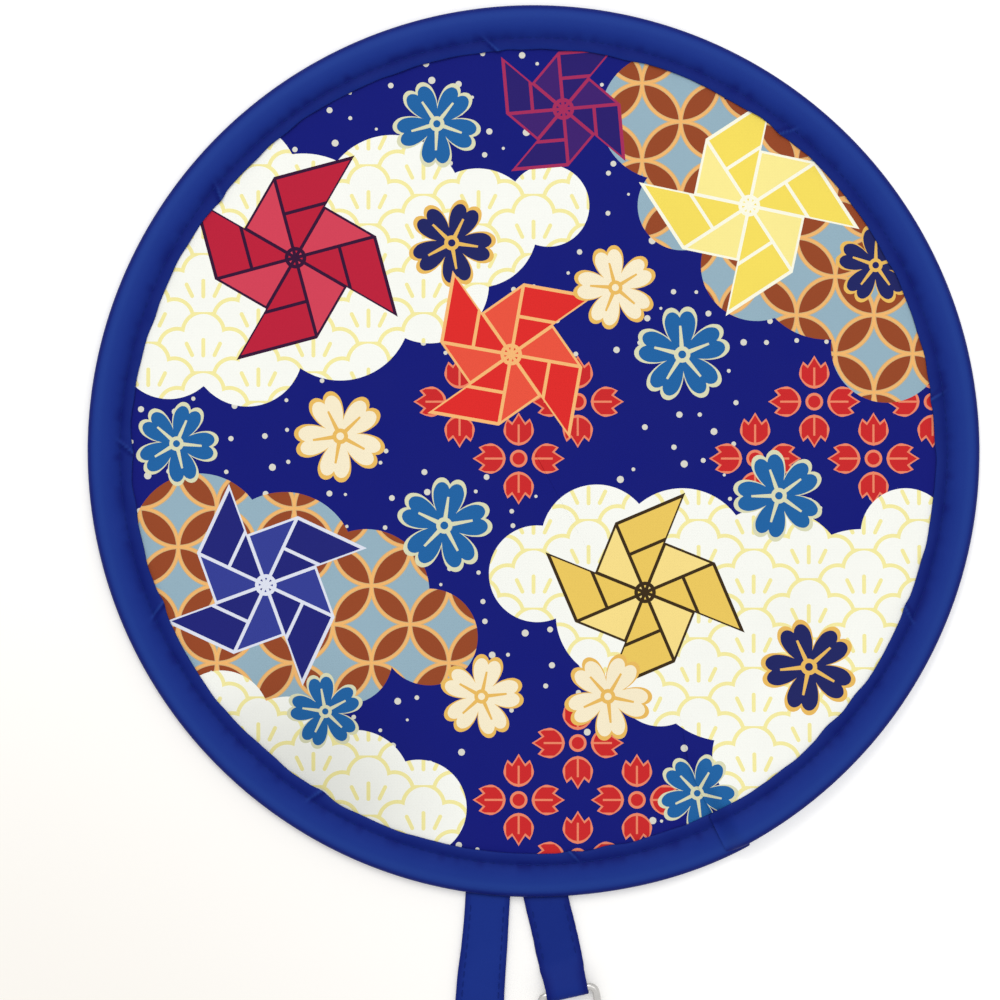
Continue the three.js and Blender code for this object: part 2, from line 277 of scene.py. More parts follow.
class Nodes:
    """Writes a node tree: each call adds nodes and gives back an output socket."""

    def __init__(self, tree):
        self.tree = tree
        self.count = 0

    def add(self, kind, **settings):
        node = self.tree.nodes.new(kind)
        row, column = divmod(self.count, NODES_IN_ROW)
        node.location = (NODE_STEP[0] * column, NODE_STEP[1] * row)
        self.count += 1
        for key, value in settings.items():
            setattr(node, key, value)
        return node

    def feed(self, socket, value):
        if isinstance(value, bpy.types.NodeSocket):
            self.tree.links.new(value, socket)
        else:
            socket.default_value = value

    def math(self, operation, *values):
        node = self.add("ShaderNodeMath", operation=operation)
        for socket, value in zip(node.inputs, values):
            self.feed(socket, value)
        return node.outputs[0]

    def vector(self, operation, *values):
        node = self.add("ShaderNodeVectorMath", operation=operation)
        for socket, value in zip(node.inputs, values):
            self.feed(socket, value)
        return node.outputs["Value" if operation in ("DISTANCE", "LENGTH") else "Vector"]

    def scaled(self, vector, factor):
        node = self.add("ShaderNodeVectorMath", operation="SCALE")
        self.feed(node.inputs[0], vector)
        self.feed(node.inputs["Scale"], factor)
        return node.outputs["Vector"]

    def parts(self, vector):
        node = self.add("ShaderNodeSeparateXYZ")
        self.feed(node.inputs[0], vector)
        return node.outputs["X"], node.outputs["Y"]

    def joined(self, across, up):
        node = self.add("ShaderNodeCombineXYZ")
        self.feed(node.inputs["X"], across)
        self.feed(node.inputs["Y"], up)
        return node.outputs[0]

    def rotated(self, vector, angle):
        node = self.add("ShaderNodeVectorRotate", rotation_type="Z_AXIS")
        self.feed(node.inputs["Vector"], vector)
        self.feed(node.inputs["Angle"], angle)
        return node.outputs[0]

    def mix(self, factor, first, second):
        node = self.add("ShaderNodeMix", data_type="RGBA")
        self.feed(node.inputs[0], factor)
        self.feed(node.inputs[6], first)
        self.feed(node.inputs[7], second)
        return node.outputs[2]

    def mix_value(self, factor, first, second):
        node = self.add("ShaderNodeMix", data_type="FLOAT")
        self.feed(node.inputs[0], factor)
        self.feed(node.inputs[2], first)
        self.feed(node.inputs[3], second)
        return node.outputs[0]

    def curve(self, value, places, handle="AUTO_CLAMPED"):
        node = self.add("ShaderNodeFloatCurve")
        points = node.mapping.curves[0].points
        while len(points) < len(places):
            points.new(0.5, 0.5)
        for point, place in zip(points, places):
            point.location = place
            point.handle_type = handle
        node.mapping.update()
        self.feed(node.inputs["Value"], value)
        return node.outputs[0]

    def noise(self, vector, scale, detail=2.0):
        node = self.add("ShaderNodeTexNoise")
        self.feed(node.inputs["Vector"], vector)
        self.feed(node.inputs["Scale"], scale)
        self.feed(node.inputs["Detail"], detail)
        return node.outputs[0]

    def group(self, tree, **values):
        node = self.add("ShaderNodeGroup", node_tree=tree)
        for key, value in values.items():
            self.feed(node.inputs[key], value)
        return node.outputs

    def smallest(self, *values):
        found = values[0]
        for value in values[1:]:
            found = self.math("MINIMUM", found, value)
        return found

    def largest(self, *values):
        found = values[0]
        for value in values[1:]:
            found = self.math("MAXIMUM", found, value)
        return found

    def within(self, value, limit):
        return self.math("LESS_THAN", self.math("ABSOLUTE", value), limit)

    def ranged(self, value, start, end, low=0.0, high=1.0):
        """Goes smoothly from low to high while the value goes from start to end."""
        node = self.add("ShaderNodeMapRange", interpolation_type="SMOOTHSTEP")
        self.feed(node.inputs["Value"], value)
        self.feed(node.inputs["From Min"], start)
        self.feed(node.inputs["From Max"], end)
        self.feed(node.inputs["To Min"], low)
        self.feed(node.inputs["To Max"], high)
        return node.outputs[0]

    def attribute(self, name, output="Fac"):
        return self.add("ShaderNodeAttribute", attribute_name=name).outputs[output]

    def backdrop_rays(self):
        """1 for a ray that shows the backdrop: from the camera, mirrored or through glass."""
        path = self.add("ShaderNodeLightPath").outputs
        return self.largest(path["Is Camera Ray"], path["Is Glossy Ray"], path["Is Transmission Ray"])


def shader_group(name, inputs, outputs):
    """A new shader node group. inputs maps a name to its start value, and outputs are names."""
    tree = bpy.data.node_groups.new(name, "ShaderNodeTree")
    for key, value in inputs.items():
        kind = "NodeSocketVector" if isinstance(value, tuple) else "NodeSocketFloat"
        socket = tree.interface.new_socket(key, in_out="INPUT", socket_type=kind)
        socket.default_value = value
    for key in outputs:
        kind = "NodeSocketColor" if key == "Colour" else "NodeSocketFloat"
        tree.interface.new_socket(key, in_out="OUTPUT", socket_type=kind)
    nodes = Nodes(tree)
    entry = nodes.add("NodeGroupInput")
    return tree, nodes, entry.outputs


def close_group(nodes, **values):
    """Ends a shader node group by feeding its outputs."""
    leave = nodes.add("NodeGroupOutput")
    for key, value in values.items():
        nodes.feed(leave.inputs[key.replace("_", " ")], value)


def shared_group(name, builder):
    """A node group that is built once."""
    return bpy.data.node_groups.get(name) or builder()


WARP_HEIGHT = 0.7


def weave_group():
    """Plain weave: each thread passes over one and under the next."""
    tree, n, given = shader_group("plain_weave", {"Place": ORIGIN, "Pitch": 0.0004}, ["Height"])
    across, along = n.parts(n.vector("DIVIDE", given["Place"], n.joined(given["Pitch"], given["Pitch"])))
    warp = n.math("ABSOLUTE", n.math("SINE", n.math("MULTIPLY", across, math.pi)))
    weft = n.math("ABSOLUTE", n.math("SINE", n.math("MULTIPLY", along, math.pi)))
    cell = n.math("ADD", n.math("FLOOR", across), n.math("FLOOR", along))
    over = n.math("FLOORED_MODULO", cell, 2.0)
    height = n.mix_value(over, n.math("MULTIPLY", warp, WARP_HEIGHT), weft)
    close_group(n, Height=height)
    return tree


# The print's motifs

LINE_CORE = 0.6


def circles_group():
    """The traditional interlocking circles: lenses, and the lines along their arcs with softer edges."""
    start = {"Place": ORIGIN, "Pitch": 14.7, "Line width": 1.15}
    tree, n, given = shader_group("interlocking_circles", start, ["Lens", "Line", "Edge"])
    turned_place = n.rotated(given["Place"], math.radians(45))
    cell = n.vector("FRACTION", n.vector("DIVIDE", turned_place, n.joined(given["Pitch"], given["Pitch"])))
    fold = n.vector("ABSOLUTE", n.vector("SUBTRACT", cell, (0.5, 0.5, 0.0)))
    radius = math.sqrt(0.5)
    gaps = []
    for corner in ((0.5, 0.5, 0.0), (-0.5, 0.5, 0.0), (0.5, -0.5, 0.0)):
        gaps.append(n.math("SUBTRACT", n.vector("DISTANCE", fold, corner), radius))
    half = n.math("DIVIDE", n.math("MULTIPLY", given["Line width"], 0.5), given["Pitch"])
    lens = n.math("LESS_THAN", n.smallest(gaps[1], gaps[2]), 0.0)
    near = n.smallest(*[n.math("ABSOLUTE", gap) for gap in gaps])
    core = n.math("MULTIPLY", half, LINE_CORE)
    close_group(n, Lens=lens, Line=n.math("LESS_THAN", near, core), Edge=n.math("LESS_THAN", near, half))
    return tree


def gap_to_circles(n, place, circles):
    """Distance to the outline of overlapping circles, below 0 inside them."""
    gaps = []
    for across, up, radius in circles:
        gaps.append(n.math("SUBTRACT", n.vector("DISTANCE", place, (across, up, 0.0)), float(radius)))
    return n.smallest(*gaps)


# A pine crown: its lobes as across, up and radius, its needles, and the rows that it stands in
PINE_LOBES = ((0.0, 0.0, 5.6), (0.0, -6.6, 7.2), (7.0, -3.9, 5.0))
PINE_NEEDLES = (((0.0, -1.9), (0.0, -6.1)), ((4.5, -2.9), (3.0, -6.0)))
PINE_TOP = 5.6
PINE_ROW = 7.95
PINE_HALF_COLUMN = 14.8


def pine_outline_group():
    """Distance to the outline of one lobed pine crown, for a place folded about its middle line."""
    tree, n, given = shader_group("pine_crown", {"Across": 0.0, "Up": 0.0}, ["Distance"])
    place = n.joined(given["Across"], given["Up"])
    close_group(n, Distance=gap_to_circles(n, place, PINE_LOBES))
    return tree


def stroke(n, across, up, start, end):
    """Distance from a place to a short straight stroke."""
    run = Vector(end) - Vector(start)
    place = n.vector("SUBTRACT", n.joined(across, up), (*start, 0.0))
    dot = n.add("ShaderNodeVectorMath", operation="DOT_PRODUCT")
    n.feed(dot.inputs[0], place)
    n.feed(dot.inputs[1], (*(run / run.length_squared), 0.0))
    share = n.add("ShaderNodeClamp")
    n.feed(share.inputs["Value"], dot.outputs["Value"])
    return n.vector("DISTANCE", place, n.scaled((*run, 0.0), share.outputs[0]))


def pine_group():
    """Rows of pine crowns drawn in lines, each row in front of the one above it."""
    crown = pine_outline_group()
    tree, n, given = shader_group("pine_rows", {"Place": ORIGIN, "Line width": 1.05}, ["Line"])
    across, up = n.parts(given["Place"])
    number = n.math("CEIL", n.math("DIVIDE", n.math("SUBTRACT", up, PINE_TOP), PINE_ROW))
    front_up = n.math("SUBTRACT", up, n.math("MULTIPLY", number, PINE_ROW))
    shift = n.math("MULTIPLY", n.math("FLOORED_MODULO", number, 2.0), PINE_HALF_COLUMN)
    front_across = n.math("PINGPONG", n.math("ADD", across, shift), PINE_HALF_COLUMN)
    middle_across = n.math("SUBTRACT", PINE_HALF_COLUMN, front_across)
    middle_up = n.math("SUBTRACT", front_up, PINE_ROW)
    back_up = n.math("SUBTRACT", front_up, 2 * PINE_ROW)
    front = n.group(crown, Across=front_across, Up=front_up)["Distance"]
    middle = n.group(crown, Across=middle_across, Up=middle_up)["Distance"]
    back = n.group(crown, Across=front_across, Up=back_up)["Distance"]
    past_front = n.math("GREATER_THAN", front, 0.0)
    past_middle = n.math("MULTIPLY", past_front, n.math("GREATER_THAN", middle, 0.0))
    half = n.math("MULTIPLY", given["Line width"], 0.5)
    front_line = n.within(front, half)
    middle_line = n.math("MULTIPLY", past_front, n.within(middle, half))
    back_line = n.math("MULTIPLY", past_middle, n.within(back, half))
    seen_across = n.mix_value(past_front, front_across, middle_across)
    seen_across = n.mix_value(past_middle, seen_across, front_across)
    seen_up = n.mix_value(past_front, front_up, middle_up)
    seen_up = n.mix_value(past_middle, seen_up, back_up)
    strokes = [stroke(n, seen_across, seen_up, *ends) for ends in PINE_NEEDLES]
    needles = n.math("LESS_THAN", n.smallest(*strokes), half)
    close_group(n, Line=n.largest(front_line, middle_line, back_line, needles))
    return tree


# A floret: the lattice's half steps, the vein's and petal's half widths and the petal's reach, then shares
FLORET_STEPS = (15.9, 15.3)
FLORET_VEIN = 0.28
PETAL_WIDTH = 4.15
PETAL_REACH = 12.4
PETAL_TIP = ((0.0, 1.0), (0.2, 0.89), (0.42, 0.78), (0.72, 0.87), (0.9, 0.74), (1.0, 0.6))
PETAL_BASE = ((0.0, 0.28), (0.4, 0.32), (0.72, 0.41), (0.92, 0.52), (1.0, 0.6))
PETAL_SIDE = 0.98
PETAL_SIDE_SLOPE = 0.36
FLORET_HEART = 0.19
FLORET_LINE = 0.058
FLORET_VEIN_MIDDLE = 0.54
FLORET_VEIN_REACH = 0.2


def floret_group():
    """A lattice of small four-petalled flowers with three-pointed petals."""
    outputs = ["Fill", "Line", "Off across", "Off up"]
    tree, n, given = shader_group("floret_lattice", {"Place": ORIGIN}, outputs)
    offsets, shares = [], []
    for value, half in zip(n.parts(given["Place"]), FLORET_STEPS):
        offsets.append(n.math("WRAP", value, half, -half))
        shares.append(n.math("DIVIDE", n.math("ABSOLUTE", offsets[-1]), half))
    far = n.math("GREATER_THAN", n.math("ADD", *shares), 1.0)
    for axis, half in enumerate(FLORET_STEPS):
        step = n.math("MULTIPLY", n.math("MULTIPLY", far, half), n.math("SIGN", offsets[axis]))
        offsets[axis] = n.math("SUBTRACT", offsets[axis], step)
    across, up = [n.math("ABSOLUTE", off) for off in offsets]
    reach = n.math("MAXIMUM", across, up)
    aside = n.math("MINIMUM", across, up)
    width = n.math("DIVIDE", aside, PETAL_WIDTH)
    tip = n.curve(width, PETAL_TIP, "VECTOR")
    base = n.curve(width, PETAL_BASE)
    share = n.math("DIVIDE", reach, PETAL_REACH)
    petal = n.largest(
        n.math("SUBTRACT", base, share),
        n.math("SUBTRACT", share, tip),
        n.math("MULTIPLY", n.math("SUBTRACT", width, PETAL_SIDE), PETAL_SIDE_SLOPE),
    )
    middle = n.math("DIVIDE", n.vector("LENGTH", n.joined(across, up)), PETAL_REACH)
    heart = n.math("SUBTRACT", middle, FLORET_HEART)
    inside = n.math("MINIMUM", petal, heart)
    vein = n.math("LESS_THAN", aside, FLORET_VEIN)
    vein = n.math("MULTIPLY", vein, n.math("COMPARE", share, FLORET_VEIN_MIDDLE, FLORET_VEIN_REACH))
    fill = n.math("LESS_THAN", inside, -FLORET_LINE)
    rim = n.math("LESS_THAN", inside, 0.0)
    line = n.math("MAXIMUM", n.math("SUBTRACT", rim, fill), n.math("MULTIPLY", vein, rim))
    close_group(n, **dict(zip(outputs, (fill, line, *offsets))))
    return tree


# A blossom, in shares of its size: a half petal's edge, the outline, and the veins' widths and reach
HALF_PETAL = math.radians(36)
BLOSSOM_EDGE = ((0.0, 0.86), (0.1, 0.94), (0.32, 1.0), (0.62, 0.9), (0.85, 0.66), (1.0, 0.42))
OUTLINE_INNER = -0.065
OUTLINE_OUTER = 0.035
VEIN_WIDTH = 0.055
VEIN_TAPER = -0.05
VEIN_START = 0.17
VEIN_END = 0.62
STAMEN_RADIUS = 0.13
STAMEN_WIDTH = 0.045


def blossom_group():
    """One five-petalled blossom with notched petals, veins and a ring of stamens."""
    start = {"Place": ORIGIN, "Centre": ORIGIN, "Size": 12.0, "Turn": 0.0}
    tree, n, given = shader_group("blossom", start, ["Petal", "Line"])
    place = n.vector("SUBTRACT", given["Place"], given["Centre"])
    place = n.scaled(place, n.math("DIVIDE", 1.0, given["Size"]))
    across, up = n.parts(place)
    reach = n.vector("LENGTH", place)
    angle = n.math("ADD", n.math("ARCTAN2", up, across), given["Turn"])
    fold = n.math("DIVIDE", n.math("PINGPONG", angle, HALF_PETAL), HALF_PETAL)
    gap = n.math("SUBTRACT", reach, n.curve(fold, BLOSSOM_EDGE))
    petal = n.math("LESS_THAN", gap, OUTLINE_INNER)
    outline = n.math("LESS_THAN", gap, OUTLINE_OUTER)
    outline = n.math("MULTIPLY", outline, n.math("GREATER_THAN", gap, OUTLINE_INNER))
    aside = n.math("MULTIPLY", reach, n.math("MULTIPLY", fold, HALF_PETAL))
    vein = n.math("LESS_THAN", aside, n.math("MULTIPLY_ADD", reach, VEIN_TAPER, VEIN_WIDTH))
    vein = n.math("MULTIPLY", vein, n.math("LESS_THAN", reach, VEIN_END))
    vein = n.math("MULTIPLY", vein, n.math("GREATER_THAN", reach, VEIN_START))
    stamens = n.math("COMPARE", reach, STAMEN_RADIUS, STAMEN_WIDTH)
    close_group(n, Petal=petal, Line=n.largest(outline, vein, stamens))
    return tree


# A pinwheel: its eyelet, how wide the blades' edges are drawn, and its inner crease as a share of its size
EYELET_RADIUS = 2.4
EYELET_WIDTH = 0.5
BLADE_EDGE = 1.4
INNER_CREASE = 0.55


def pinwheel_group():
    """One folded-paper pinwheel: four blades, each with a plain half and a folded-over half."""
    start = {"Place": ORIGIN, "Centre": ORIGIN, "Size": 17.0, "Turn": 0.0, "Line width": 0.9}
    tree, n, given = shader_group("paper_pinwheel", start, ["Blade", "Flap", "Line"])
    quarter = math.radians(90)
    place = n.vector("SUBTRACT", given["Place"], given["Centre"])
    across, up = n.parts(place)
    reach = n.vector("LENGTH", place)
    angle = n.math("ADD", n.math("ARCTAN2", up, across), given["Turn"])
    fold = n.math("SUBTRACT", n.math("FLOORED_MODULO", angle, quarter), quarter / 2)
    out = n.math("MULTIPLY", reach, n.math("COSINE", fold))
    aside = n.math("MULTIPLY", reach, n.math("SINE", fold))
    gap = n.math("SUBTRACT", n.math("ADD", out, n.math("MAXIMUM", aside, 0.0)), given["Size"])
    half = n.math("MULTIPLY", given["Line width"], 0.5)
    inside = n.math("LESS_THAN", gap, half)
    flap = n.math("MULTIPLY", inside, n.math("GREATER_THAN", aside, 0.0))
    crease = n.within(aside, half)
    edge = n.math("SUBTRACT", out, n.math("ABSOLUTE", aside))
    edge = n.within(edge, n.math("MULTIPLY", half, BLADE_EDGE))
    eyelet = n.math("COMPARE", reach, EYELET_RADIUS, EYELET_WIDTH)
    inner_crease = n.math("SUBTRACT", out, n.math("MULTIPLY", given["Size"], INNER_CREASE))
    inner_crease = n.within(inner_crease, half)
    inner_crease = n.math("MULTIPLY", inner_crease, n.math("LESS_THAN", aside, 0.0))
    line = n.largest(crease, edge, n.within(gap, half), eyelet, inner_crease)
    close_group(n, Blade=inside, Flap=flap, Line=n.math("MULTIPLY", line, inside))
    return tree


# The print's layout from the middle of the fan: circles of the panels as across, up and radius,
# then motifs as across, up, size and turn, and for a pinwheel its blade, flap and crease colours

CLOUDS = (
    (-84, 44, 20), (-62, 58, 22), (-38, 66, 19), (-15, 60, 16), (4, 66, 11), (-77, 27, 15),
    (-52, 38, 19), (-28, 45, 16), (-98, 28, 14), (-100, 55, 18), (-80, 72, 17), (88, -42, 21),
    (64, -36, 21), (40, -28, 18), (17, -24, 15), (1, -33, 13), (24, -44, 18), (52, -56, 22),
    (78, -66, 21), (100, -22, 12), (34, -62, 12), (64, -82, 16), (-66, -82, 16), (-48, -90, 15),
    (-31, -96, 13), (-84, -72, 13),
)
RINGS = (
    (56, 74, 21), (79, 50, 20), (35, 90, 17), (95, 28, 15), (60, 50, 15), (88, 74, 18), (40, 66, 12),
    (-90, -24, 18), (-67, -30, 19), (-45, -38, 17), (-70, -52, 18), (-96, -46, 16), (-28, -50, 13),
    (-50, -56, 12),
)
FLORETS = (
    (86, 2, 15), (68, 8, 14), (101, 4, 14), (-20, 8, 16), (2, 4, 15), (17, 14, 13), (-6, 22, 14),
    (-34, 14, 12), (2, -84, 15), (20, -90, 14), (-14, -92, 12), (8, -102, 12),
)
BLUE_BLOSSOMS = (
    (-26, 88, 11.5, 20), (40, 26, 12.5, 50), (-96, 2, 11.0, 5), (66, -12, 12.0, 35), (-24, -20, 12.5, 62),
    (44, -92, 10.5, 10), (-56, -70, 10.0, 44),
)
NAVY_BLOSSOMS = ((-22, 56, 11.5, 8), (74, -58, 12.5, 30), (92, 50, 10.5, 55))
PALE_BLOSSOMS = ((-52, 4, 12.0, 28), (20, -66, 11.5, 12), (22, 44, 11.0, 40), (-14, -66, 11.0, 66))
PINWHEELS = (
    (58, 66, 21, 12, (250, 226, 96), (255, 240, 150), (255, 253, 232)),
    (-64, 52, 22, 30, (190, 30, 58), (214, 66, 88), (52, 14, 52)),
    (-6, 26, 19, 55, (226, 42, 40), (238, 84, 62), (250, 188, 120)),
    (30, -38, 20, 22, (240, 204, 96), (252, 226, 140), (58, 42, 20)),
    (-72, -36, 20, 70, (30, 34, 120), (52, 62, 150), (226, 230, 244)),
    (8, 92, 15, 40, (40, 26, 108), (62, 30, 110), (168, 44, 92)),
)

# The dots' lattice, how far they stray from it, and their least radius and spread as shares of a step
DOT_STEP = 8.5
DOT_STRAY = 0.8
DOT_RADIUS = 0.045
DOT_SPREAD = 0.07
FLORET_SHIFT = (4.0, 2.0, 0.0)
CIRCLE_SHIFT = (2.0, 5.0, 0.0)


def ink(tone):
    """A colour with its alpha."""
    return (*tone, 1.0)


def panel(n, place, circles):
    """Where a panel with a scalloped edge lies."""
    return n.math("LESS_THAN", gap_to_circles(n, place, circles), 0.0)


def motif(n, group, place, spot):
    """One blossom or pinwheel of the print."""
    across, up, size, turn = spot
    return n.group(
        group, Place=place, Centre=(across, up, 0.0), Size=float(size), Turn=math.radians(turn)
    )


def paint_blossoms(n, place, ground, group, places, fill, line):
    """Lays several blossoms of one colour on the print."""
    petals, lines = [], []
    for spot in places:
        out = motif(n, group, place, spot)
        petals.append(out["Petal"])
        lines.append(out["Line"])
    ground = n.mix(n.largest(*petals), ground, fill)
    return n.mix(n.largest(*lines), ground, line)


def print_group(colours):
    """The whole print, for a place in millimetres from the middle of the fan."""
    circles, pine, floret = circles_group(), pine_group(), floret_group()
    blossom, pinwheel = blossom_group(), pinwheel_group()
    tree, n, given = shader_group("fan_print", {"Place": ORIGIN}, ["Colour"])
    place = given["Place"]

    dots = n.add("ShaderNodeTexVoronoi", voronoi_dimensions="2D", feature="F1")
    n.feed(dots.inputs["Vector"], place)
    n.feed(dots.inputs["Scale"], 1 / DOT_STEP)
    n.feed(dots.inputs["Randomness"], DOT_STRAY)
    chance, _ = n.parts(dots.outputs["Color"])
    size = n.math("MULTIPLY_ADD", chance, DOT_SPREAD, DOT_RADIUS)
    dot = n.math("LESS_THAN", dots.outputs["Distance"], size)
    dot = n.math("SUBTRACT", dot, panel(n, dots.outputs["Position"], FLORETS))
    found = n.mix(n.math("MAXIMUM", dot, 0.0), ink(colours.ground), ink(colours.dot))

    out = n.group(floret, Place=n.vector("ADD", place, FLORET_SHIFT))
    heart = n.vector("SUBTRACT", place, n.joined(out["Off across"], out["Off up"]))
    whole = panel(n, heart, FLORETS)
    found = n.mix(n.math("MULTIPLY", whole, out["Fill"]), found, ink(colours.floret))
    found = n.mix(n.math("MULTIPLY", whole, out["Line"]), found, ink(colours.floret_line))

    out = n.group(circles, Place=n.vector("ADD", place, CIRCLE_SHIFT))
    inner = n.mix(out["Lens"], ink(colours.ring_gap), ink(colours.ring_lens))
    inner = n.mix(out["Edge"], inner, ink(colours.ring_edge))
    inner = n.mix(out["Line"], inner, ink(colours.ring_line))
    found = n.mix(panel(n, place, RINGS), found, inner)

    out = n.group(pine, Place=place)
    inner = n.mix(out["Line"], ink(colours.cloud), ink(colours.pine_line))
    found = n.mix(panel(n, place, CLOUDS), found, inner)

    line, gold = ink(colours.blossom_line), ink(colours.blossom_gold)
    found = paint_blossoms(n, place, found, blossom, NAVY_BLOSSOMS, ink(colours.blossom_navy), gold)
    for *spot, blade, flap, crease in PINWHEELS:
        out = motif(n, pinwheel, place, spot)
        found = n.mix(out["Blade"], found, ink(srgb(*blade)))
        found = n.mix(out["Flap"], found, ink(srgb(*flap)))
        found = n.mix(out["Line"], found, ink(srgb(*crease)))
    found = paint_blossoms(n, place, found, blossom, BLUE_BLOSSOMS, ink(colours.blossom_blue), line)
    found = paint_blossoms(n, place, found, blossom, PALE_BLOSSOMS, ink(colours.blossom_pale), gold)
    close_group(n, Colour=found)
    return tree


# Materials, with lengths in metres

# In a pair of shade, highlight or roughness, the first is how much a pattern adds and the second what it
# adds to
CLOTH_PITCH = 0.00042
CLOTH_MOTTLE = 60.0
CLOTH_WEAVE_SHADE = 0.05
CLOTH_SHADE = (0.06, 0.94)
CLOTH_ROUGHNESS = (0.2, 0.62)
CLOTH_SHEEN = 0.02
CLOTH_SPECULAR = 0.12
CLOTH_BUMP = 0.25
# A patch of painted shade on the cloth near the rim at the lower left: its middle, its reach and its levels
SHADE_PATCH_PLACE = (-0.066, -0.098, 0.0)
SHADE_PATCH_REACH = (0.006, 0.05)
SHADE_PATCH_LEVELS = (0.76, 1.0)
TAPE_PITCH = 0.00036
TAPE_MOTTLE = 90.0
TAPE_PAINTED_SHADE = 0.9
TAPE_SHADE = (0.34, -0.17)
TAPE_WEAVE_SHADE = -0.12
TAPE_DARK = 0.1
TAPE_HIGHLIGHT = (0.8, 0.5)
TAPE_ROUGHNESS = (0.2, 0.5)
TAPE_SHEEN = 0.04
TAPE_SHEEN_ROUGHNESS = 0.4
TAPE_BUMP = 0.3
WEAVE_RELIEF = 0.00008
THREAD_TWIST = 40.0
THREAD_SHADE = (0.2, 0.2)
THREAD_ROUGHNESS = (0.1, 0.6)
THREAD_BUMP = 0.4
THREAD_RELIEF = 0.00006
SMUDGE_SCALE = 420.0
SMUDGE_TONE = 0.78
SMUDGE_ROUGHNESS = 0.22
SCRATCH_SCALE = (600.0, 4200.0, 600.0)
SCRATCH_BUMP = 0.08
SCRATCH_RELIEF = 0.00004
NICKEL_ROUGHNESS = 0.14
STEEL_ROUGHNESS = 0.3
MOTTLE_DETAIL = 3.0


def shared_material(name, builder, *values):
    """A material that is built once."""
    return bpy.data.materials.get(name) or builder(*values)


def new_material(name):
    """A material with one Principled shader, and a writer for its nodes."""
    material = bpy.data.materials.new(name)
    material.use_nodes = True
    tree = material.node_tree
    shader = tree.nodes["Principled BSDF"]
    return material, Nodes(tree), shader


def set_plain(shader, **values):
    """Sets values that are the same all over the surface."""
    for key, value in values.items():
        shader.inputs[key.replace("_", " ")].default_value = value


def bumped(n, shader, height, strength, distance):
    """Gives the shader a relief from a height."""
    bump = n.add("ShaderNodeBump")
    n.feed(bump.inputs["Height"], height)
    bump.inputs["Strength"].default_value = strength
    bump.inputs["Distance"].default_value = distance
    n.feed(shader.inputs["Normal"], bump.outputs["Normal"])


def cloth_place(n):
    """The piece's own cloth map, in metres along and across its threads."""
    return n.add("ShaderNodeUVMap", uv_map="cloth").outputs[0]


def woven(n, place, pitch):
    """Height of the plain weave at a place."""
    return n.group(shared_group("plain_weave", weave_group), Place=place, Pitch=pitch)["Height"]


def printed_cloth(colours):
    """Thin printed polyester, with painted shade between its threads and a patch of painted shade near the
    rim at the lower left.
    """
    material, n, shader = new_material("printed_cloth")
    place = cloth_place(n)
    found = n.group(print_group(colours), Place=n.scaled(place, 1 / MM))["Colour"]
    weave = woven(n, place, CLOTH_PITCH)
    soft = n.noise(place, CLOTH_MOTTLE, MOTTLE_DETAIL)
    shade = n.math("MULTIPLY_ADD", soft, *CLOTH_SHADE)
    # The weave's height is painted on the colour as shade between the threads
    shade = n.math("MULTIPLY_ADD", weave, CLOTH_WEAVE_SHADE, shade)
    # Slack here is painted shade: the cloth is darker in a patch near the rim at the lower left
    slack = n.ranged(n.vector("DISTANCE", place, SHADE_PATCH_PLACE), *SHADE_PATCH_REACH, *SHADE_PATCH_LEVELS)
    n.feed(shader.inputs["Base Color"], n.scaled(found, n.math("MULTIPLY", shade, slack)))
    n.feed(shader.inputs["Roughness"], n.math("MULTIPLY_ADD", soft, *CLOTH_ROUGHNESS))
    set_plain(shader, Sheen_Weight=CLOTH_SHEEN, Specular_IOR_Level=CLOTH_SPECULAR)
    bumped(n, shader, weave, CLOTH_BUMP, WEAVE_RELIEF)
    return material


def tape_cloth(colours):
    """Woven polyester tape, with painted shade along its folds, groove, seams and edges and between its
    threads, and a painted highlight on its outer shoulder and its pleats.
    """
    material, n, shader = new_material("tape_cloth")
    place = cloth_place(n)
    weave = woven(n, place, TAPE_PITCH)
    soft = n.noise(place, TAPE_MOTTLE, MOTTLE_DETAIL)
    # The crease attribute is painted shade along folds, groove, seams and edges of tape and straps; random
    # mottle and painted shade between the threads join it
    painted_shading = n.math("MULTIPLY", n.attribute("crease"), TAPE_PAINTED_SHADE)
    painted_shading = n.math("ADD", painted_shading, n.math("MULTIPLY_ADD", soft, *TAPE_SHADE))
    painted_shading = n.math("MULTIPLY_ADD", weave, TAPE_WEAVE_SHADE, n.math("ADD", painted_shading, TAPE_DARK))
    # A painted highlight lightens the tape along its outer shoulder and on its pleats
    highlighted = n.math("MULTIPLY", n.attribute("highlight"), n.math("MULTIPLY_ADD", soft, *TAPE_HIGHLIGHT))
    base = n.mix(highlighted, ink(colours.tape), ink(colours.tape_highlight))
    base = n.mix(n.math("MAXIMUM", painted_shading, 0.0), base, ink(colours.tape_shade))
    n.feed(shader.inputs["Base Color"], base)
    n.feed(shader.inputs["Roughness"], n.math("MULTIPLY_ADD", soft, *TAPE_ROUGHNESS))
    set_plain(shader, Sheen_Weight=TAPE_SHEEN, Sheen_Roughness=TAPE_SHEEN_ROUGHNESS)
    set_plain(shader, Specular_IOR_Level=CLOTH_SPECULAR)
    bumped(n, shader, weave, TAPE_BUMP, WEAVE_RELIEF)
    return material


